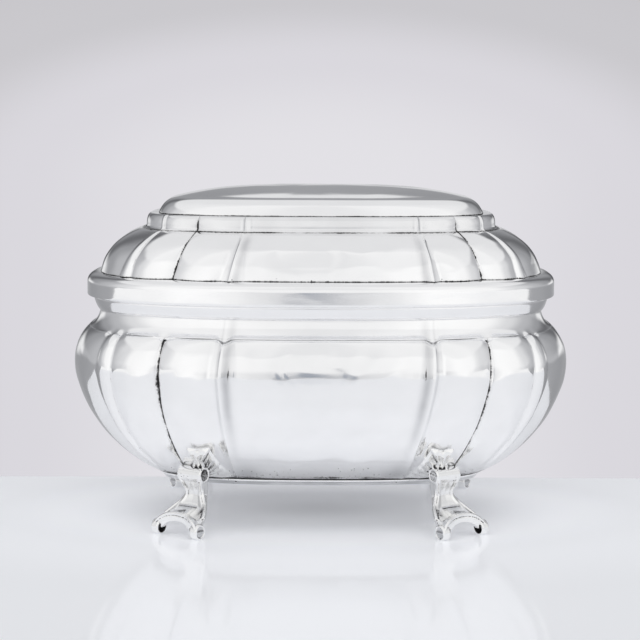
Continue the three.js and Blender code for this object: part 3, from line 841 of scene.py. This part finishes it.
def foot_parts():
    leg = smooth_stations([
        (4.4, 2.0, knuckle_z - 0.3, 2.0, -8, 0),
        (4.15, 1.45, foot_clearance + 2.5, 2.0, -18, 0),
        (3.45, 0.4, foot_clearance + 0.5, 2.0, -14, 0),
        (2.95, -0.1, foot_clearance - 1.2, 1.9, 4, 0),
        (3.6, 0.3, foot_clearance - 2.8, 1.7, 24, 0.005),
        (5.0, 1.2, foot_clearance - 4.2, 1.4, 44, 0.015),
        (6.4, 2.9, foot_clearance - 5.3, 1.1, 64, 0.028),
        (7.4, 5.0, foot_clearance - 5.9, 0.9, 76, 0.036),
        (8.0, 7.0, foot_clearance - 6.2, 0.8, 80, 0.042),
    ])
    parts = [strap(leg), arch_band()]
    parts.append(roll(1, -knuckle_half, knuckle_half, knuckle_reach, knuckle_z, roll_bar_radius, 0.3))
    for side in (-1, 1):
        inner = toe_half_spread - toe_length
        toe_z = toe_radius - toe_wear
        parts.append(roll(side, inner, toe_half_spread, toe_reach, toe_z, toe_radius, toe_hollow))
        parts.append(tube(smooth_stations([
            (side * 2.9, 0.9, foot_clearance + 1.4), (side * 2.8, 1.0, foot_clearance - 1.0),
            (side * 3.7, 0.6, foot_clearance - 3.0), (side * 5.4, -1.0, foot_clearance - 5.0),
            (side * 7.2, -4.2, foot_clearance - 7.4),
        ]), leg_edge_radius, 12))
    return parts


# The leaf that each foot spreads up the bowl, as (towards the foot's outer side, height) from its middle

leaf_x = foot_x - 2.6
leaf_fan = [
    (-3.3, knuckle_z), (2.6, knuckle_z), (2.2, bowl_foot_z + 5.2), (1.5, bowl_foot_z + 7.2),
    (2.2, bowl_foot_z + 9.0), (3.3, bowl_foot_z + 10.8), (1.6, bowl_foot_z + 10.7),
    (0.2, bowl_foot_z + 10.3), (-1.6, bowl_foot_z + 10.9), (-3.3, bowl_foot_z + 11.2),
    (-2.4, bowl_foot_z + 9.0), (-1.5, bowl_foot_z + 7.4), (-2.0, bowl_foot_z + 5.4),
]
leaf_wing = [
    (-1.2, knuckle_z - 1.6), (-1.2, bowl_foot_z + 7.0), (-3.3, bowl_foot_z + 11.0), (-4.6, bowl_foot_z + 8.2),
    (-6.6, bowl_foot_z + 5.2), (-9.8, bowl_foot_z + 1.0), (-6.0, bowl_foot_z + 0.6),
]


def depth_inside(points, outline):
    """Distance of plan points to an outline, positive inside it."""
    corners = np.array(outline)
    inside = np.zeros(len(points), bool)
    nearest = np.full(len(points), 1e9)
    for a, b in zip(corners, np.roll(corners, -1, axis=0)):
        along = b - a
        share = np.clip((points - a) @ along / (along @ along), 0, 1)
        nearest = np.minimum(nearest, np.linalg.norm(points - a - share[:, None] * along, axis=1))
        crosses = (a[1] > points[:, 1]) != (b[1] > points[:, 1])
        rise = np.where(b[1] == a[1], 1e-9, b[1] - a[1])
        inside ^= crosses & (points[:, 0] < a[0] + (points[:, 1] - a[1]) * (b[0] - a[0]) / rise)
    return np.where(inside, nearest, -nearest)


def leaf_plate(bowl, side_x, side_y, outline, thick, vein):
    """A plate with a rounded edge that lies on the bowl inside an outline seen from the front."""
    spacing = 0.3
    sunk = 0.35
    vein_pitch = 26.0
    corners = np.array(outline)
    lo = corners.min(axis=0) - 0.6
    hi = corners.max(axis=0) + 0.6
    u = np.arange(lo[0], hi[0], spacing)
    v = np.arange(lo[1], hi[1], spacing)
    grid = np.array([[a, b] for b in v for a in u])
    depth = depth_inside(grid, outline)
    fan = np.arctan2(grid[:, 0], grid[:, 1] - knuckle_z + 2.0)
    height = -sunk + (thick + sunk) * slope(depth, -sunk, 0.9) ** 0.6
    height += vein * np.cos(fan * vein_pitch) * slope(depth, 0, 0.8)
    front = []
    back = []
    for (a, b), h in zip(grid, height):
        x = side_x * (leaf_x + a)
        hit, normal, _, _ = bowl.ray_cast(Vector((x, side_y * 200, b)) * MM, Vector((0, -side_y, 0)))
        if hit is None:
            front.append(None)
            back.append(None)
            continue
        place = np.array(hit) / MM
        normal = np.array(normal)
        front.append(place + normal * h)
        back.append(place - normal * 0.8)
    wide = len(u)
    quads = []
    for j in range(len(v) - 1):
        for i in range(wide - 1):
            cell = [j * wide + i, j * wide + i + 1, (j + 1) * wide + i + 1, (j + 1) * wide + i]
            if all(front[k] is not None for k in cell) and max(depth[k] for k in cell) > -0.3:
                quads.append(cell)
    used = sorted({k for cell in quads for k in cell})
    number = {k: n for n, k in enumerate(used)}
    count = len(used)
    points = np.array([front[k] for k in used] + [back[k] for k in used])
    faces = [[number[k] for k in cell] for cell in quads]
    edges = {(f[i], f[(i + 1) % 4]) for f in faces for i in range(4)}
    faces += [[k + count for k in face[::-1]] for face in faces]
    faces += [[b, a, a + count, b + count] for a, b in sorted(edges) if (b, a) not in edges]
    return points, face_out(points, faces)


def fused(points, faces, voxel, smooth_turns):
    """One closed skin over overlapping closed parts, through a voxel remesh."""
    rough = make_object("rough", points, faces)
    remesh = rough.modifiers.new("fuse", "REMESH")
    remesh.mode = "VOXEL"
    remesh.voxel_size = voxel * MM
    ease = rough.modifiers.new("ease", "SMOOTH")
    ease.factor = 0.5
    ease.iterations = smooth_turns
    graph = bpy.context.evaluated_depsgraph_get()
    mesh = bpy.data.meshes.new_from_object(rough.evaluated_get(graph))
    fused_points = np.array([v.co for v in mesh.vertices]) / MM
    fused_faces = [list(p.vertices) for p in mesh.polygons]
    bpy.data.objects.remove(rough)
    bpy.data.meshes.remove(mesh)
    return fused_points, fused_faces


def mesh_edges(faces):
    pairs = {tuple(sorted((f[i], f[(i + 1) % len(f)]))) for f in faces for i in range(len(f))}
    return np.array(sorted(pairs))


def neighbour_mean(values, edges):
    """Mean of each point's neighbours."""
    total = np.zeros_like(values)
    count = np.zeros(len(values))
    for a, b in ((0, 1), (1, 0)):
        np.add.at(total, edges[:, a], values[edges[:, b]])
        np.add.at(count, edges[:, a], 1)
    return total / (count[:, None] if values.ndim > 1 else count)


def hollowness(points, faces, turns=2):
    """How hollow the surface is at each point: 0 where flat or rounded, towards 1 in a crease."""
    edges = mesh_edges(faces)
    normals = np.zeros_like(points)
    corners = np.array([f[:4] for f in faces if len(f) == 4])
    a, b, c, d = (points[corners[:, i]] for i in range(4))
    cross = np.cross(c - a, d - b)
    for i in range(4):
        np.add.at(normals, corners[:, i], cross)
    normals /= np.linalg.norm(normals, axis=1)[:, None] + 1e-12
    hollow = np.einsum("ij,ij->i", neighbour_mean(points, edges) - points, normals)
    for _ in range(turns):
        hollow = 0.5 * hollow + 0.5 * neighbour_mean(hollow, edges)
    return np.clip(hollow / 0.016, 0, 1)


def seated_on(points, bowl, sink):
    """Points deeper in the bowl than sink come back to that depth."""
    seated = points.copy()
    for i, p in enumerate(points):
        if p[2] < foot_clearance - 1:
            continue
        place, normal, _, _ = bowl.find_nearest(Vector(p * MM))
        inward = -(Vector(p * MM) - place).dot(normal)
        if inward > sink * MM:
            seated[i] = np.array(place - normal * sink * MM) / MM
    return seated


def round_mark(points, x, reach, z, radius, depth):
    """1 within a short round plug whose axis runs along X, softening at its rim."""
    off_axis = np.hypot(-points[:, 1] - reach, points[:, 2] - z)
    along = np.abs(points[:, 0] - x)
    return slope(off_axis, radius, -0.3) * slope(along, depth, -0.2)


def foot_marks(local, inward, hollow, barrel_tone):
    """Tarnish, pits and grey film of a foot, from its own coordinates, with painted shade in its hollows."""
    x = local[:, 0] * inward
    reach = -local[:, 1]
    z = local[:, 2]
    # Darker and greyer in the hollows: painted shade standing in for occlusion
    grime = 0.08 + 0.9 * hollow
    spots = 0.55 + 0.45 * soft_band(z, knuckle_z, 3.5)
    film = 0.35 * hollow
    toe_z = toe_radius - toe_wear
    for side in (-1, 1):
        hollow_x = side * (toe_half_spread - toe_length + 0.5)
        inside = round_mark(local, hollow_x, toe_reach, toe_z, toe_radius * 0.85, 1.2)
        disc = round_mark(local, side * toe_half_spread, toe_reach, toe_z, toe_radius * 0.8, 0.55)
        end_x = side * knuckle_half
        barrel_end = round_mark(local, end_x, knuckle_reach, knuckle_z, roll_bar_radius * 0.8, 0.6)
        tone = barrel_tone if side * inward > 0 else 0.3
        grime = strongest(grime, 1.1 * inside, tone * barrel_end)
        grime = np.where(disc > 0.3, 0.12, grime)
        film = strongest(film, 0.95 * disc, barrel_tone * barrel_end)
        spots = np.maximum(spots, barrel_end)
    saddle = slope(np.abs(x + 0.6), 3.6, -0.4) * soft_band(z, foot_clearance - 4.7, 0.85)
    saddle *= slope(reach, 0.8, 0.5)
    patch = soft_band(x, 5.0, 1.3) * soft_band(z, foot_clearance - 5.6, 1.9) * slope(reach, 0.3, 0.5)
    return {
        "grime": strongest(grime, saddle * (0.5 + 0.3 * np.sin(reach * 9.0)), 0.62 * patch),
        "spots": np.maximum(spots, patch),
        "film": strongest(film, saddle, 0.7 * patch),
    }


def build_feet(bowl_tree):
    points, faces = joined(foot_parts())
    feet = []
    for side_x, side_y, name in (
        (-1, -1, "front_left"), (1, -1, "front_right"), (-1, 1, "rear_left"), (1, 1, "rear_right"),
    ):
        turn = side_x * (foot_turn if side_y < 0 else 180 - foot_turn)
        c = math.cos(math.radians(turn))
        s = math.sin(math.radians(turn))
        spin = np.array([[c, -s, 0], [s, c, 0], [0, 0, 1]])
        lean = np.array([[foot_lean * (side_x > 0), 0, 0]])
        stand = np.array([side_x * (foot_x - foot_draw[side_x]), side_y * foot_y, 0])
        placed = points @ spin.T + stand
        placed -= lean * placed[:, 2:]
        whole = joined([
            (placed, faces),
            leaf_plate(bowl_tree, side_x, side_y, leaf_fan, 1.25, 0.2),
            leaf_plate(bowl_tree, side_x, side_y, leaf_wing, 0.6, 0.14),
        ])
        skin_points, skin_faces = fused(*whole, foot_voxel, 2)
        skin_points[:, 2] = np.maximum(skin_points[:, 2], 0.0)
        skin_points = seated_on(skin_points, bowl_tree, 0.25)
        local = (skin_points + lean * skin_points[:, 2:] - stand) @ spin
        barrel_tone = 0.68 if side_x < 0 else 0.15
        marks = foot_marks(local, side_x * side_y, hollowness(skin_points, skin_faces), barrel_tone)
        made = make_object(f"scroll_foot_{name}", skin_points, skin_faces, **marks)
        feet.append((made, f"foot_{name}"))
    return feet


# Hinge

bearer_reach = 2.2
bearer_drop = 5.5
bearer_rise = 3.8
bearer_edge = 0.15
knuckle_radius = 1.7
knuckle_count = 5
knuckle_gap = 0.3
knuckle_play = 0.06
open_angle = 105.0


def along_x(profile, x0, x1):
    """A closed section, drawn as (y, z), pushed along X."""
    points = np.array([[x, y, z] for x in (x0, x1) for y, z in profile])
    return points, face_out(points, capped_faces(2, len(profile)))


def bearer_profile(up, rise):
    seat = knuckle_radius + 0.3
    level = 0.12
    stop = math.radians(open_angle / 2)
    inner = half_width - neck_inset + 0.3 - hinge_y
    stop_z = bearer_reach * math.tan(stop) + 0.05 / math.cos(stop)
    arc = np.linspace(math.pi - math.asin(level / seat), stop + 0.02, 22)
    section = [(inner, level)]
    section += [(seat * math.cos(a), seat * math.sin(a)) for a in arc]
    section += [(bearer_reach, stop_z), (bearer_reach, rise), (inner, rise)]
    return [(hinge_y + y, split_z + up * z) for y, z in section]


def bevelled(made, width, segments=2):
    bevel = made.modifiers.new("edges", "BEVEL")
    bevel.width = width * MM
    bevel.segments = segments
    bevel.limit_method = "ANGLE"
    bevel.angle_limit = math.radians(40)
    bevel.harden_normals = False
    graph = bpy.context.evaluated_depsgraph_get()
    mesh = bpy.data.meshes.new_from_object(made.evaluated_get(graph))
    made.modifiers.clear()
    made.data = mesh
    return made


def build_bearer(name, up, rise):
    points, faces = along_x(bearer_profile(up, rise), -hinge_half, hinge_half)
    made = make_object(name, points, faces, grime=0.2, spots=0.4)
    for polygon in made.data.polygons:
        polygon.use_smooth = False
    return bevelled(made, bearer_edge)


def build_knuckle(i):
    pitch = (2 * hinge_half + knuckle_gap) / knuckle_count
    x0 = -hinge_half + i * pitch
    x1 = x0 + pitch - knuckle_gap
    bore = pin_radius + knuckle_play
    r = knuckle_radius
    profile = [
        (x0, bore), (x0, r - 0.2), (x0 + 0.06, r - 0.06), (x0 + 0.2, r),
        (x1 - 0.2, r), (x1 - 0.06, r - 0.06), (x1, r - 0.2), (x1, bore),
    ]
    points, faces = turned(profile, hinge_y, split_z, 48)
    grime = 0.7 * (soft_band(points[:, 0], x0, 0.15) + soft_band(points[:, 0], x1, 0.15))
    return make_object(f"knuckle_{i + 1}", points, faces, grime=grime, spots=0.4)


def build_pin():
    ends = [(0.0, pin_radius * 0.55), (0.12, pin_radius * 0.85), (0.3, pin_radius)]
    profile = [(-hinge_half + x, r) for x, r in ends]
    profile += [(hinge_half - x, r) for x, r in ends[::-1]]
    profile += [(hinge_half - 0.05, 0.02), (-hinge_half + 0.05, 0.02)]
    points, faces = turned(profile, hinge_y, split_z)
    return make_object("hinge_rod", points, faces, grime=0.15, spots=0.3)


# Materials

# Film, haze and tarnish colours, also used for painted shade and painted reflections of dark things
film_colour = (0.5, 0.505, 0.52)
haze_and_shade_colour = (0.42, 0.41, 0.40)
tarnish_and_shade_colour = (0.035, 0.034, 0.036)


def fresh_tree(owner):
    """The emptied node tree of a material or the world."""
    owner.use_nodes = True
    owner.node_tree.nodes.clear()
    return owner.node_tree


def add(tree, kind, inputs=None, **settings):
    """A shader node with its settings, its inputs set or linked."""
    made = tree.nodes.new("ShaderNode" + kind)
    for key, value in settings.items():
        setattr(made, key, value)
    for key, value in (inputs or {}).items():
        if isinstance(value, bpy.types.NodeSocket):
            tree.links.new(value, made.inputs[key])
        else:
            made.inputs[key].default_value = value
    return made


def calc(tree, operation, a, b=0.0, c=0.0, clamp=False):
    made = add(tree, "Math", {0: a, 1: b, 2: c}, operation=operation, use_clamp=clamp)
    return made.outputs[0]


def between(tree, value, low, high, to_low=0.0, to_high=1.0, smooth=False):
    made = add(tree, "MapRange", {
        "Value": value, "From Min": low, "From Max": high, "To Min": to_low, "To Max": to_high,
    }, interpolation_type="SMOOTHSTEP" if smooth else "LINEAR")
    return made.outputs["Result"]


def noise(tree, vector, scale, detail=2.0, rough=0.5):
    return add(tree, "TexNoise", {
        "Vector": vector, "Scale": scale, "Detail": detail, "Roughness": rough,
    }).outputs["Fac"]


def mix_colour(tree, share, a, b):
    made = tree.nodes.new("ShaderNodeMix")
    made.data_type = "RGBA"
    for socket, value in ((made.inputs[0], share), (made.inputs[6], a), (made.inputs[7], b)):
        if isinstance(value, bpy.types.NodeSocket):
            tree.links.new(value, socket)
        else:
            socket.default_value = value if isinstance(value, float) else (*value, 1.0)
    return made.outputs[2]


def attribute(tree, name):
    return add(tree, "Attribute", attribute_name=name).outputs["Fac"]


def pits(tree, place, scale, spots, threshold, size):
    """Small round marks, one to a cell, where the spots attribute lets them be."""
    cells = add(tree, "TexVoronoi", {"Vector": place, "Scale": scale, "Randomness": 1.0})
    pick = add(tree, "SeparateColor", {"Color": cells.outputs["Color"]})
    chosen = calc(tree, "GREATER_THAN", calc(tree, "MULTIPLY", pick.outputs[0], spots), threshold)
    reach = calc(tree, "MULTIPLY", pick.outputs[1], size)
    inside = between(tree, calc(tree, "SUBTRACT", cells.outputs["Distance"], reach), -0.06, 0.04, 1.0, 0.0)
    return calc(tree, "MULTIPLY", chosen, inside)


def silver(name, colour, rough, scratch=0.5, tarnish_and_shade=1.0, pit_size=0.15):
    """Polished silver with fine scratches, tarnish in the chased lines and small pits, darkened and greyed as
    painted shade where the mesh marks hollows and crevices.
    """
    material = bpy.data.materials.new(name)
    tree = fresh_tree(material)
    place = add(tree, "TexCoord").outputs["Object"]
    grime = attribute(tree, "grime")
    spots = attribute(tree, "spots")
    film = attribute(tree, "film")

    speckle = noise(tree, place, 1900, 3.0, 0.65)
    patches = noise(tree, place, 120, 2.0)
    worn = calc(tree, "MULTIPLY_ADD", patches, 1.3, -0.65)
    level = calc(tree, "ADD", grime, calc(tree, "MULTIPLY", worn, grime))
    level = calc(tree, "ADD", level, calc(tree, "MULTIPLY_ADD", speckle, 0.9, -0.45))
    dark = between(tree, level, 0.5, 0.82, 0.0, tarnish_and_shade, smooth=True)
    haze_and_shade = between(tree, calc(tree, "MULTIPLY", grime, patches), 0.08, 0.5, 0.0, 0.35)

    pit = pits(tree, place, 400.0, spots, 0.6, pit_size)
    pit = calc(tree, "MAXIMUM", pit, pits(tree, place, 1500.0, spots, 0.66, 0.34))
    stain_and_painted_shade = calc(tree, "MAXIMUM", dark, calc(tree, "MULTIPLY", pit, tarnish_and_shade), clamp=True)
    bright = mix_colour(tree, between(tree, patches, 0.3, 0.7), colour, [c * 0.975 for c in colour])
    # Grey where the mesh marks film, which also holds painted shade and painted reflections of dark things
    blurred = calc(tree, "MULTIPLY", film, calc(tree, "MULTIPLY_ADD", patches, 0.9, 0.35), clamp=True)
    filmed = mix_colour(tree, blurred, bright, film_colour)
    hazed_and_shaded = mix_colour(tree, haze_and_shade, filmed, haze_and_shade_colour)
    base = mix_colour(tree, stain_and_painted_shade, hazed_and_shaded, tarnish_and_shade_colour)

    streak_map = add(tree, "Mapping", {"Vector": place, "Scale": (0.35, 0.35, 2.4)})
    streaks = noise(tree, streak_map.outputs[0], 900, 4.0, 0.7)
    cloudy = noise(tree, place, 45, 2.0)
    roughness = calc(tree, "MULTIPLY_ADD", between(tree, cloudy, 0.35, 0.7), rough * 0.5, rough * 0.75)
    roughness = calc(tree, "ADD", roughness, between(tree, streaks, 0.55, 0.8, 0.0, scratch * 0.12))
    roughness = calc(tree, "ADD", roughness, calc(tree, "MULTIPLY", stain_and_painted_shade, 0.4), clamp=True)

    fine = calc(tree, "MULTIPLY_ADD", streaks, 0.4, calc(tree, "MULTIPLY", stain_and_painted_shade, -1.5))
    planished = add(tree, "Mapping", {"Vector": place, "Scale": (0.3, 0.3, 1.0)})
    hammered = noise(tree, planished.outputs[0], 105, 2.0, 0.5)
    wavy = add(tree, "Bump", {"Strength": 1.0, "Distance": 0.00022, "Height": hammered})
    bump = add(tree, "Bump", {
        "Strength": 0.12, "Distance": 0.00005, "Height": fine, "Normal": wavy.outputs[0],
    })

    shader = add(tree, "BsdfPrincipled", {
        "Base Color": base,
        "Metallic": between(tree, stain_and_painted_shade, 0.0, 1.0, 1.0, 0.55),
        "Roughness": roughness,
        "Normal": bump.outputs[0],
    })
    add(tree, "OutputMaterial", {"Surface": shader.outputs[0]})
    return material


# Studio

camera_distance = 614.8
camera_elevation = 6.35
camera_roll = 0.2
camera_lens = 112.2
target = Vector((-0.21, 0.0, 59.3)) * MM


def camera_place():
    e = math.radians(camera_elevation)
    return target + Vector((0, -math.cos(e), math.sin(e))) * camera_distance * MM


def build_camera():
    data = bpy.data.cameras.new("studio_camera")
    data.lens = camera_lens
    data.sensor_width = 36
    data.clip_start = 0.01
    data.clip_end = 50
    made = bpy.data.objects.new("studio_camera", data)
    bpy.context.scene.collection.objects.link(made)
    look = Matrix.Rotation(math.radians(90 - camera_elevation), 4, "X")
    roll = Matrix.Rotation(math.radians(camera_roll), 4, "Z")
    made.matrix_world = Matrix.Translation(camera_place()) @ look @ roll
    bpy.context.scene.camera = made


def grey(level, warm=0.0):
    """A grey of that sRGB level, 0 to 255, a little lavender when warm is negative."""
    linear = (level / 255) ** 2.2
    return (linear, linear * (1 + warm * 0.5), linear * (1 - warm))


def cool(level):
    """A grey of that linear level, a little blue where it is dark."""
    shade = 0.045 * max(0.0, 1 - level)
    return (level * (1 - shade), level * (1 - 0.6 * shade), level * (1 + shade))


def ramp(tree, share, stops):
    made = add(tree, "ValToRGB", {0: share})
    made.color_ramp.interpolation = "EASE"
    points = made.color_ramp.elements
    while len(points) < len(stops):
        points.new(0.5)
    for point, (at, level) in zip(points, stops):
        point.position = at
        point.color = (*(cool(level) if isinstance(level, float) else level), 1.0)
    return made.outputs[0]


def bearing(tree, direction):
    """Degrees round from the front, to either side, and degrees of elevation."""
    unit = add(tree, "VectorMath", {0: direction}, operation="NORMALIZE").outputs[0]
    x, y, z = add(tree, "SeparateXYZ", {0: unit}).outputs
    azimuth = calc(tree, "ARCTAN2", x, calc(tree, "MULTIPLY", y, -1.0))
    azimuth = calc(tree, "MULTIPLY", azimuth, 180 / math.pi)
    elevation = calc(tree, "MULTIPLY", calc(tree, "ARCSINE", z), 180 / math.pi)
    return calc(tree, "ABSOLUTE", azimuth), elevation


def backdrop_colour(tree, direction):
    """The pale lavender-grey backdrop, brightest behind the casket."""
    size, elevation = bearing(tree, direction)
    across = calc(tree, "DIVIDE", calc(tree, "SUBTRACT", 180.0, size), 12.0)
    above = calc(tree, "MAXIMUM", calc(tree, "ADD", elevation, 2.5), 0.0)
    above = calc(tree, "DIVIDE", above, 5.0)
    spread = calc(tree, "ADD", calc(tree, "MULTIPLY", across, across), calc(tree, "MULTIPLY", above, above))
    share = calc(tree, "DIVIDE", spread, 3.0)
    return ramp(tree, share, [
        (0.0, grey(226, -0.03)), (0.17, grey(217, -0.04)), (0.37, grey(201, -0.03)), (1.0, grey(192, -0.03)),
    ])


# Levels of the room, from the front (0) round to the back (1)

front_levels = [
    (0.0, 0.68), (0.025, 0.72), (0.06, 0.82), (0.1, 0.93), (0.15, 1.02), (0.22, 1.03), (0.32, 0.95),
    (0.41, 0.78), (0.48, 0.65), (0.56, 0.54), (0.66, 0.48), (0.75, 0.46), (0.8, 0.85), (0.87, 0.85),
    (0.905, 0.1), (0.95, 0.08), (0.965, 0.7), (1.0, 0.72),
]
upper_levels = [
    (0.0, 0.92), (0.15, 1.02), (0.33, 0.98), (0.48, 0.74), (0.62, 0.5), (0.77, 0.34), (0.87, 0.15),
    (0.95, 0.32), (1.0, 0.36),
]
under_levels = [(0.0, 0.7), (0.4, 0.62), (0.6, 0.38), (0.8, 0.33), (1.0, 0.5)]
overhead_levels = [(0.0, 0.84), (0.12, 0.92), (0.33, 0.94), (0.5, 0.86), (0.8, 0.8), (1.0, 0.8)]


def studio_light(tree, direction):
    """What the silver mirrors: two broad lights in front, a grey surround and a dark far edge."""
    size, elevation = bearing(tree, direction)
    turn = calc(tree, "DIVIDE", size, 180.0)
    level = ramp(tree, turn, front_levels)
    upper = ramp(tree, turn, upper_levels)
    under = ramp(tree, turn, under_levels)
    level = mix_colour(tree, between(tree, elevation, -4.0, -0.5), under, level)
    level = mix_colour(tree, between(tree, elevation, 1.0, 9.0, smooth=True), level, upper)
    overhead = ramp(tree, turn, overhead_levels)
    return mix_colour(tree, between(tree, elevation, 37.0, 44.0, smooth=True), level, overhead)


def build_world():
    world = bpy.data.worlds.new("studio")
    bpy.context.scene.world = world
    tree = fresh_tree(world)
    direction = add(tree, "TexCoord").outputs["Generated"]
    seen = add(tree, "Background", {"Color": backdrop_colour(tree, direction), "Strength": 1.0})
    mirrored = add(tree, "Background", {"Color": studio_light(tree, direction), "Strength": 1.0})
    straight = add(tree, "LightPath").outputs["Is Camera Ray"]
    both = add(tree, "MixShader", {0: straight, 1: mirrored.outputs[0], 2: seen.outputs[0]})
    add(tree, "OutputWorld", {"Surface": both.outputs[0]})


# The white table, its far edge just behind the casket. Its top glows with painted light: least right under
# the casket, a painted shadow, and most a little way out.
table_edge_y = 54.0
table_reach = 6000.0
table_thickness = 18.0
table_round = 1.2
table_white = (0.945, 0.957, 0.982, 1)
table_gloss = 0.16
table_glow_reach = 0.12          # in metres, as the next two
table_fade_from = 0.34
table_fade_to = 0.76


def build_table():
    section = [(-table_reach, 0.0), (table_edge_y - table_round, 0.0)]
    for t in (30, 60, 90):
        a = math.radians(t)
        section.append((table_edge_y - table_round * (1 - math.sin(a)), -table_round * (1 - math.cos(a))))
    section += [(table_edge_y, -table_thickness), (-table_reach, -table_thickness)]
    table = make_object("studio_table", *along_x(section, -table_reach, table_reach))
    for polygon in table.data.polygons:
        polygon.use_smooth = False
    material = bpy.data.materials.new("white_table")
    tree = fresh_tree(material)
    place = add(tree, "TexCoord").outputs["Object"]
    distance = add(tree, "VectorMath", {0: place}, operation="LENGTH").outputs["Value"]
    narrow = add(tree, "Mapping", {"Vector": place, "Scale": (0.6, 1.0, 1.0)}).outputs[0]
    near_by = add(tree, "VectorMath", {0: narrow}, operation="LENGTH").outputs["Value"]
    size, _ = bearing(tree, place)
    level = ramp(tree, calc(tree, "DIVIDE", size, 180.0), front_levels[:7])
    # Painted light on the table: a glow that dips under the casket as a painted shadow and peaks a little way
    # out
    painted_light_level = ramp(tree, calc(tree, "DIVIDE", near_by, table_glow_reach), [
        (0.0, 0.07), (0.17, 0.15), (0.35, 0.22), (0.52, 0.14), (0.92, 0.085),
    ])
    glow = add(tree, "Emission", {"Color": painted_light_level, "Strength": 1.0})
    white = add(tree, "BsdfDiffuse", {"Color": table_white})
    gloss = add(tree, "BsdfGlossy", {"Color": (1, 1, 1, 1), "Roughness": 0.08})
    top = add(tree, "MixShader", {0: table_gloss, 1: white.outputs[0], 2: gloss.outputs[0]})
    near = add(tree, "AddShader", {0: top.outputs[0], 1: glow.outputs[0]})
    # Painted light: far off, the table glows with the room's light levels by bearing
    far = add(tree, "Emission", {"Color": level, "Strength": 1.0})
    fade = between(tree, distance, table_fade_from, table_fade_to, smooth=True)
    both = add(tree, "MixShader", {0: fade, 1: near.outputs[0], 2: far.outputs[0]})
    add(tree, "OutputMaterial", {"Surface": both.outputs[0]})
    table.data.materials.append(material)


# Soft grey shapes that only the silver sees: the stand of the camera, and the set beside it
cards = {
    "camera_card": ((-34.0, 10.0), (6.0, 120.0), -640.0, (0.30, 0.33, 0.39), 0.9),
    "grey_card": ((-70.0, 40.0), (-30.0, 66.0), -650.0, (0.5, 0.51, 0.54), 0.8),
}


def build_card(name, across, upright, y, colour, strength):
    middle = ((across[0] + across[1]) / 2, y, (upright[0] + upright[1]) / 2)
    half = ((across[1] - across[0]) / 2, (upright[1] - upright[0]) / 2)
    corners = [
        (middle[0] + half[0] * x, y, middle[2] + half[1] * z) for x, z in ((-1, -1), (1, -1), (1, 1), (-1, 1))
    ]
    card = make_object(name, corners, [[0, 1, 2, 3]])
    material = bpy.data.materials.new(name)
    tree = fresh_tree(material)
    place = add(tree, "TexCoord").outputs["Object"]
    shape = add(tree, "Mapping", {
        "Vector": place, "Location": [c * MM for c in middle], "Scale": (half[0] * MM, 1.0, half[1] * MM),
    }, vector_type="TEXTURE").outputs[0]
    off = add(tree, "VectorMath", {0: shape}, operation="LENGTH").outputs["Value"]
    edge = calc(tree, "MULTIPLY_ADD", noise(tree, place, 30, 3.0, 0.6), 0.5, 0.35)
    share = between(tree, off, edge, 1.0, strength, 0.0, smooth=True)
    flat = add(tree, "Emission", {"Color": (*colour, 1.0), "Strength": 1.0})
    clear = add(tree, "BsdfTransparent")
    both = add(tree, "MixShader", {0: share, 1: clear.outputs[0], 2: flat.outputs[0]})
    add(tree, "OutputMaterial", {"Surface": both.outputs[0]})
    card.data.materials.append(material)
    card.visible_camera = False
    card.visible_diffuse = False
    card.visible_shadow = False


# Everything put together

def place(made, body, slot, material, *nodes):
    made.data.materials.clear()
    made.data.materials.append(material)
    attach(made, body)
    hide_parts(*nodes)


build_camera()
build_world()
build_table()
for card_name, card in cards.items():
    build_card(card_name, *card)

polished = silver("polished_silver", (0.955, 0.955, 0.958), 0.1)
moulded = silver("moulding_silver", (0.94, 0.94, 0.945), 0.12)
cast = silver("cast_silver", (0.93, 0.93, 0.925), 0.15, 0.8, pit_size=0.26)
satin = silver("inside_silver", (0.88, 0.875, 0.865), 0.28, 1.0)

bowl = build_body_shell()
place(bowl, "casket_body", "polished_silver", polished, "body_shell")
place(build_base_moulding(), "casket_body", "moulding_silver", moulded, "base_moulding")
place(build_base_plate(), "casket_body", "inside_silver", satin, "base_plate")
place(build_rim_moulding(), "casket_body", "moulding_silver", moulded, "body_rim_moulding")
place(build_bezel(), "casket_body", "inside_silver", satin, "bezel_strip")
bowl_tree = BVHTree.FromObject(bowl, bpy.context.evaluated_depsgraph_get())
for foot, node in build_feet(bowl_tree):
    place(foot, "casket_body", "cast_silver", cast, node)

place(build_lid_band(), "casket_lid", "polished_silver", polished, "lid_band")
place(build_lid_shell(), "casket_lid", "polished_silver", polished, "lid_shell")
place(build_lid_top(), "casket_lid", "polished_silver", polished, "lid_top_plate")

lower = build_bearer("bearer_lower", -1, bearer_drop)
upper = build_bearer("bearer_upper", 1, bearer_rise)
place(lower, "casket_body", "moulding_silver", moulded, "hinge_bearer_body")
place(upper, "casket_lid", "moulding_silver", moulded, "hinge_bearer_lid")
place(build_pin(), "casket_body", "cast_silver", cast, "hinge_pin")
for i in range(knuckle_count):
    body = "casket_lid" if i % 2 == 1 else "casket_body"
    place(build_knuckle(i), body, "moulding_silver", moulded, f"hinge_knuckle_{i + 1}")

scene = bpy.context.scene
scene.view_settings.view_transform = "Standard"
scene.view_settings.look = "None"
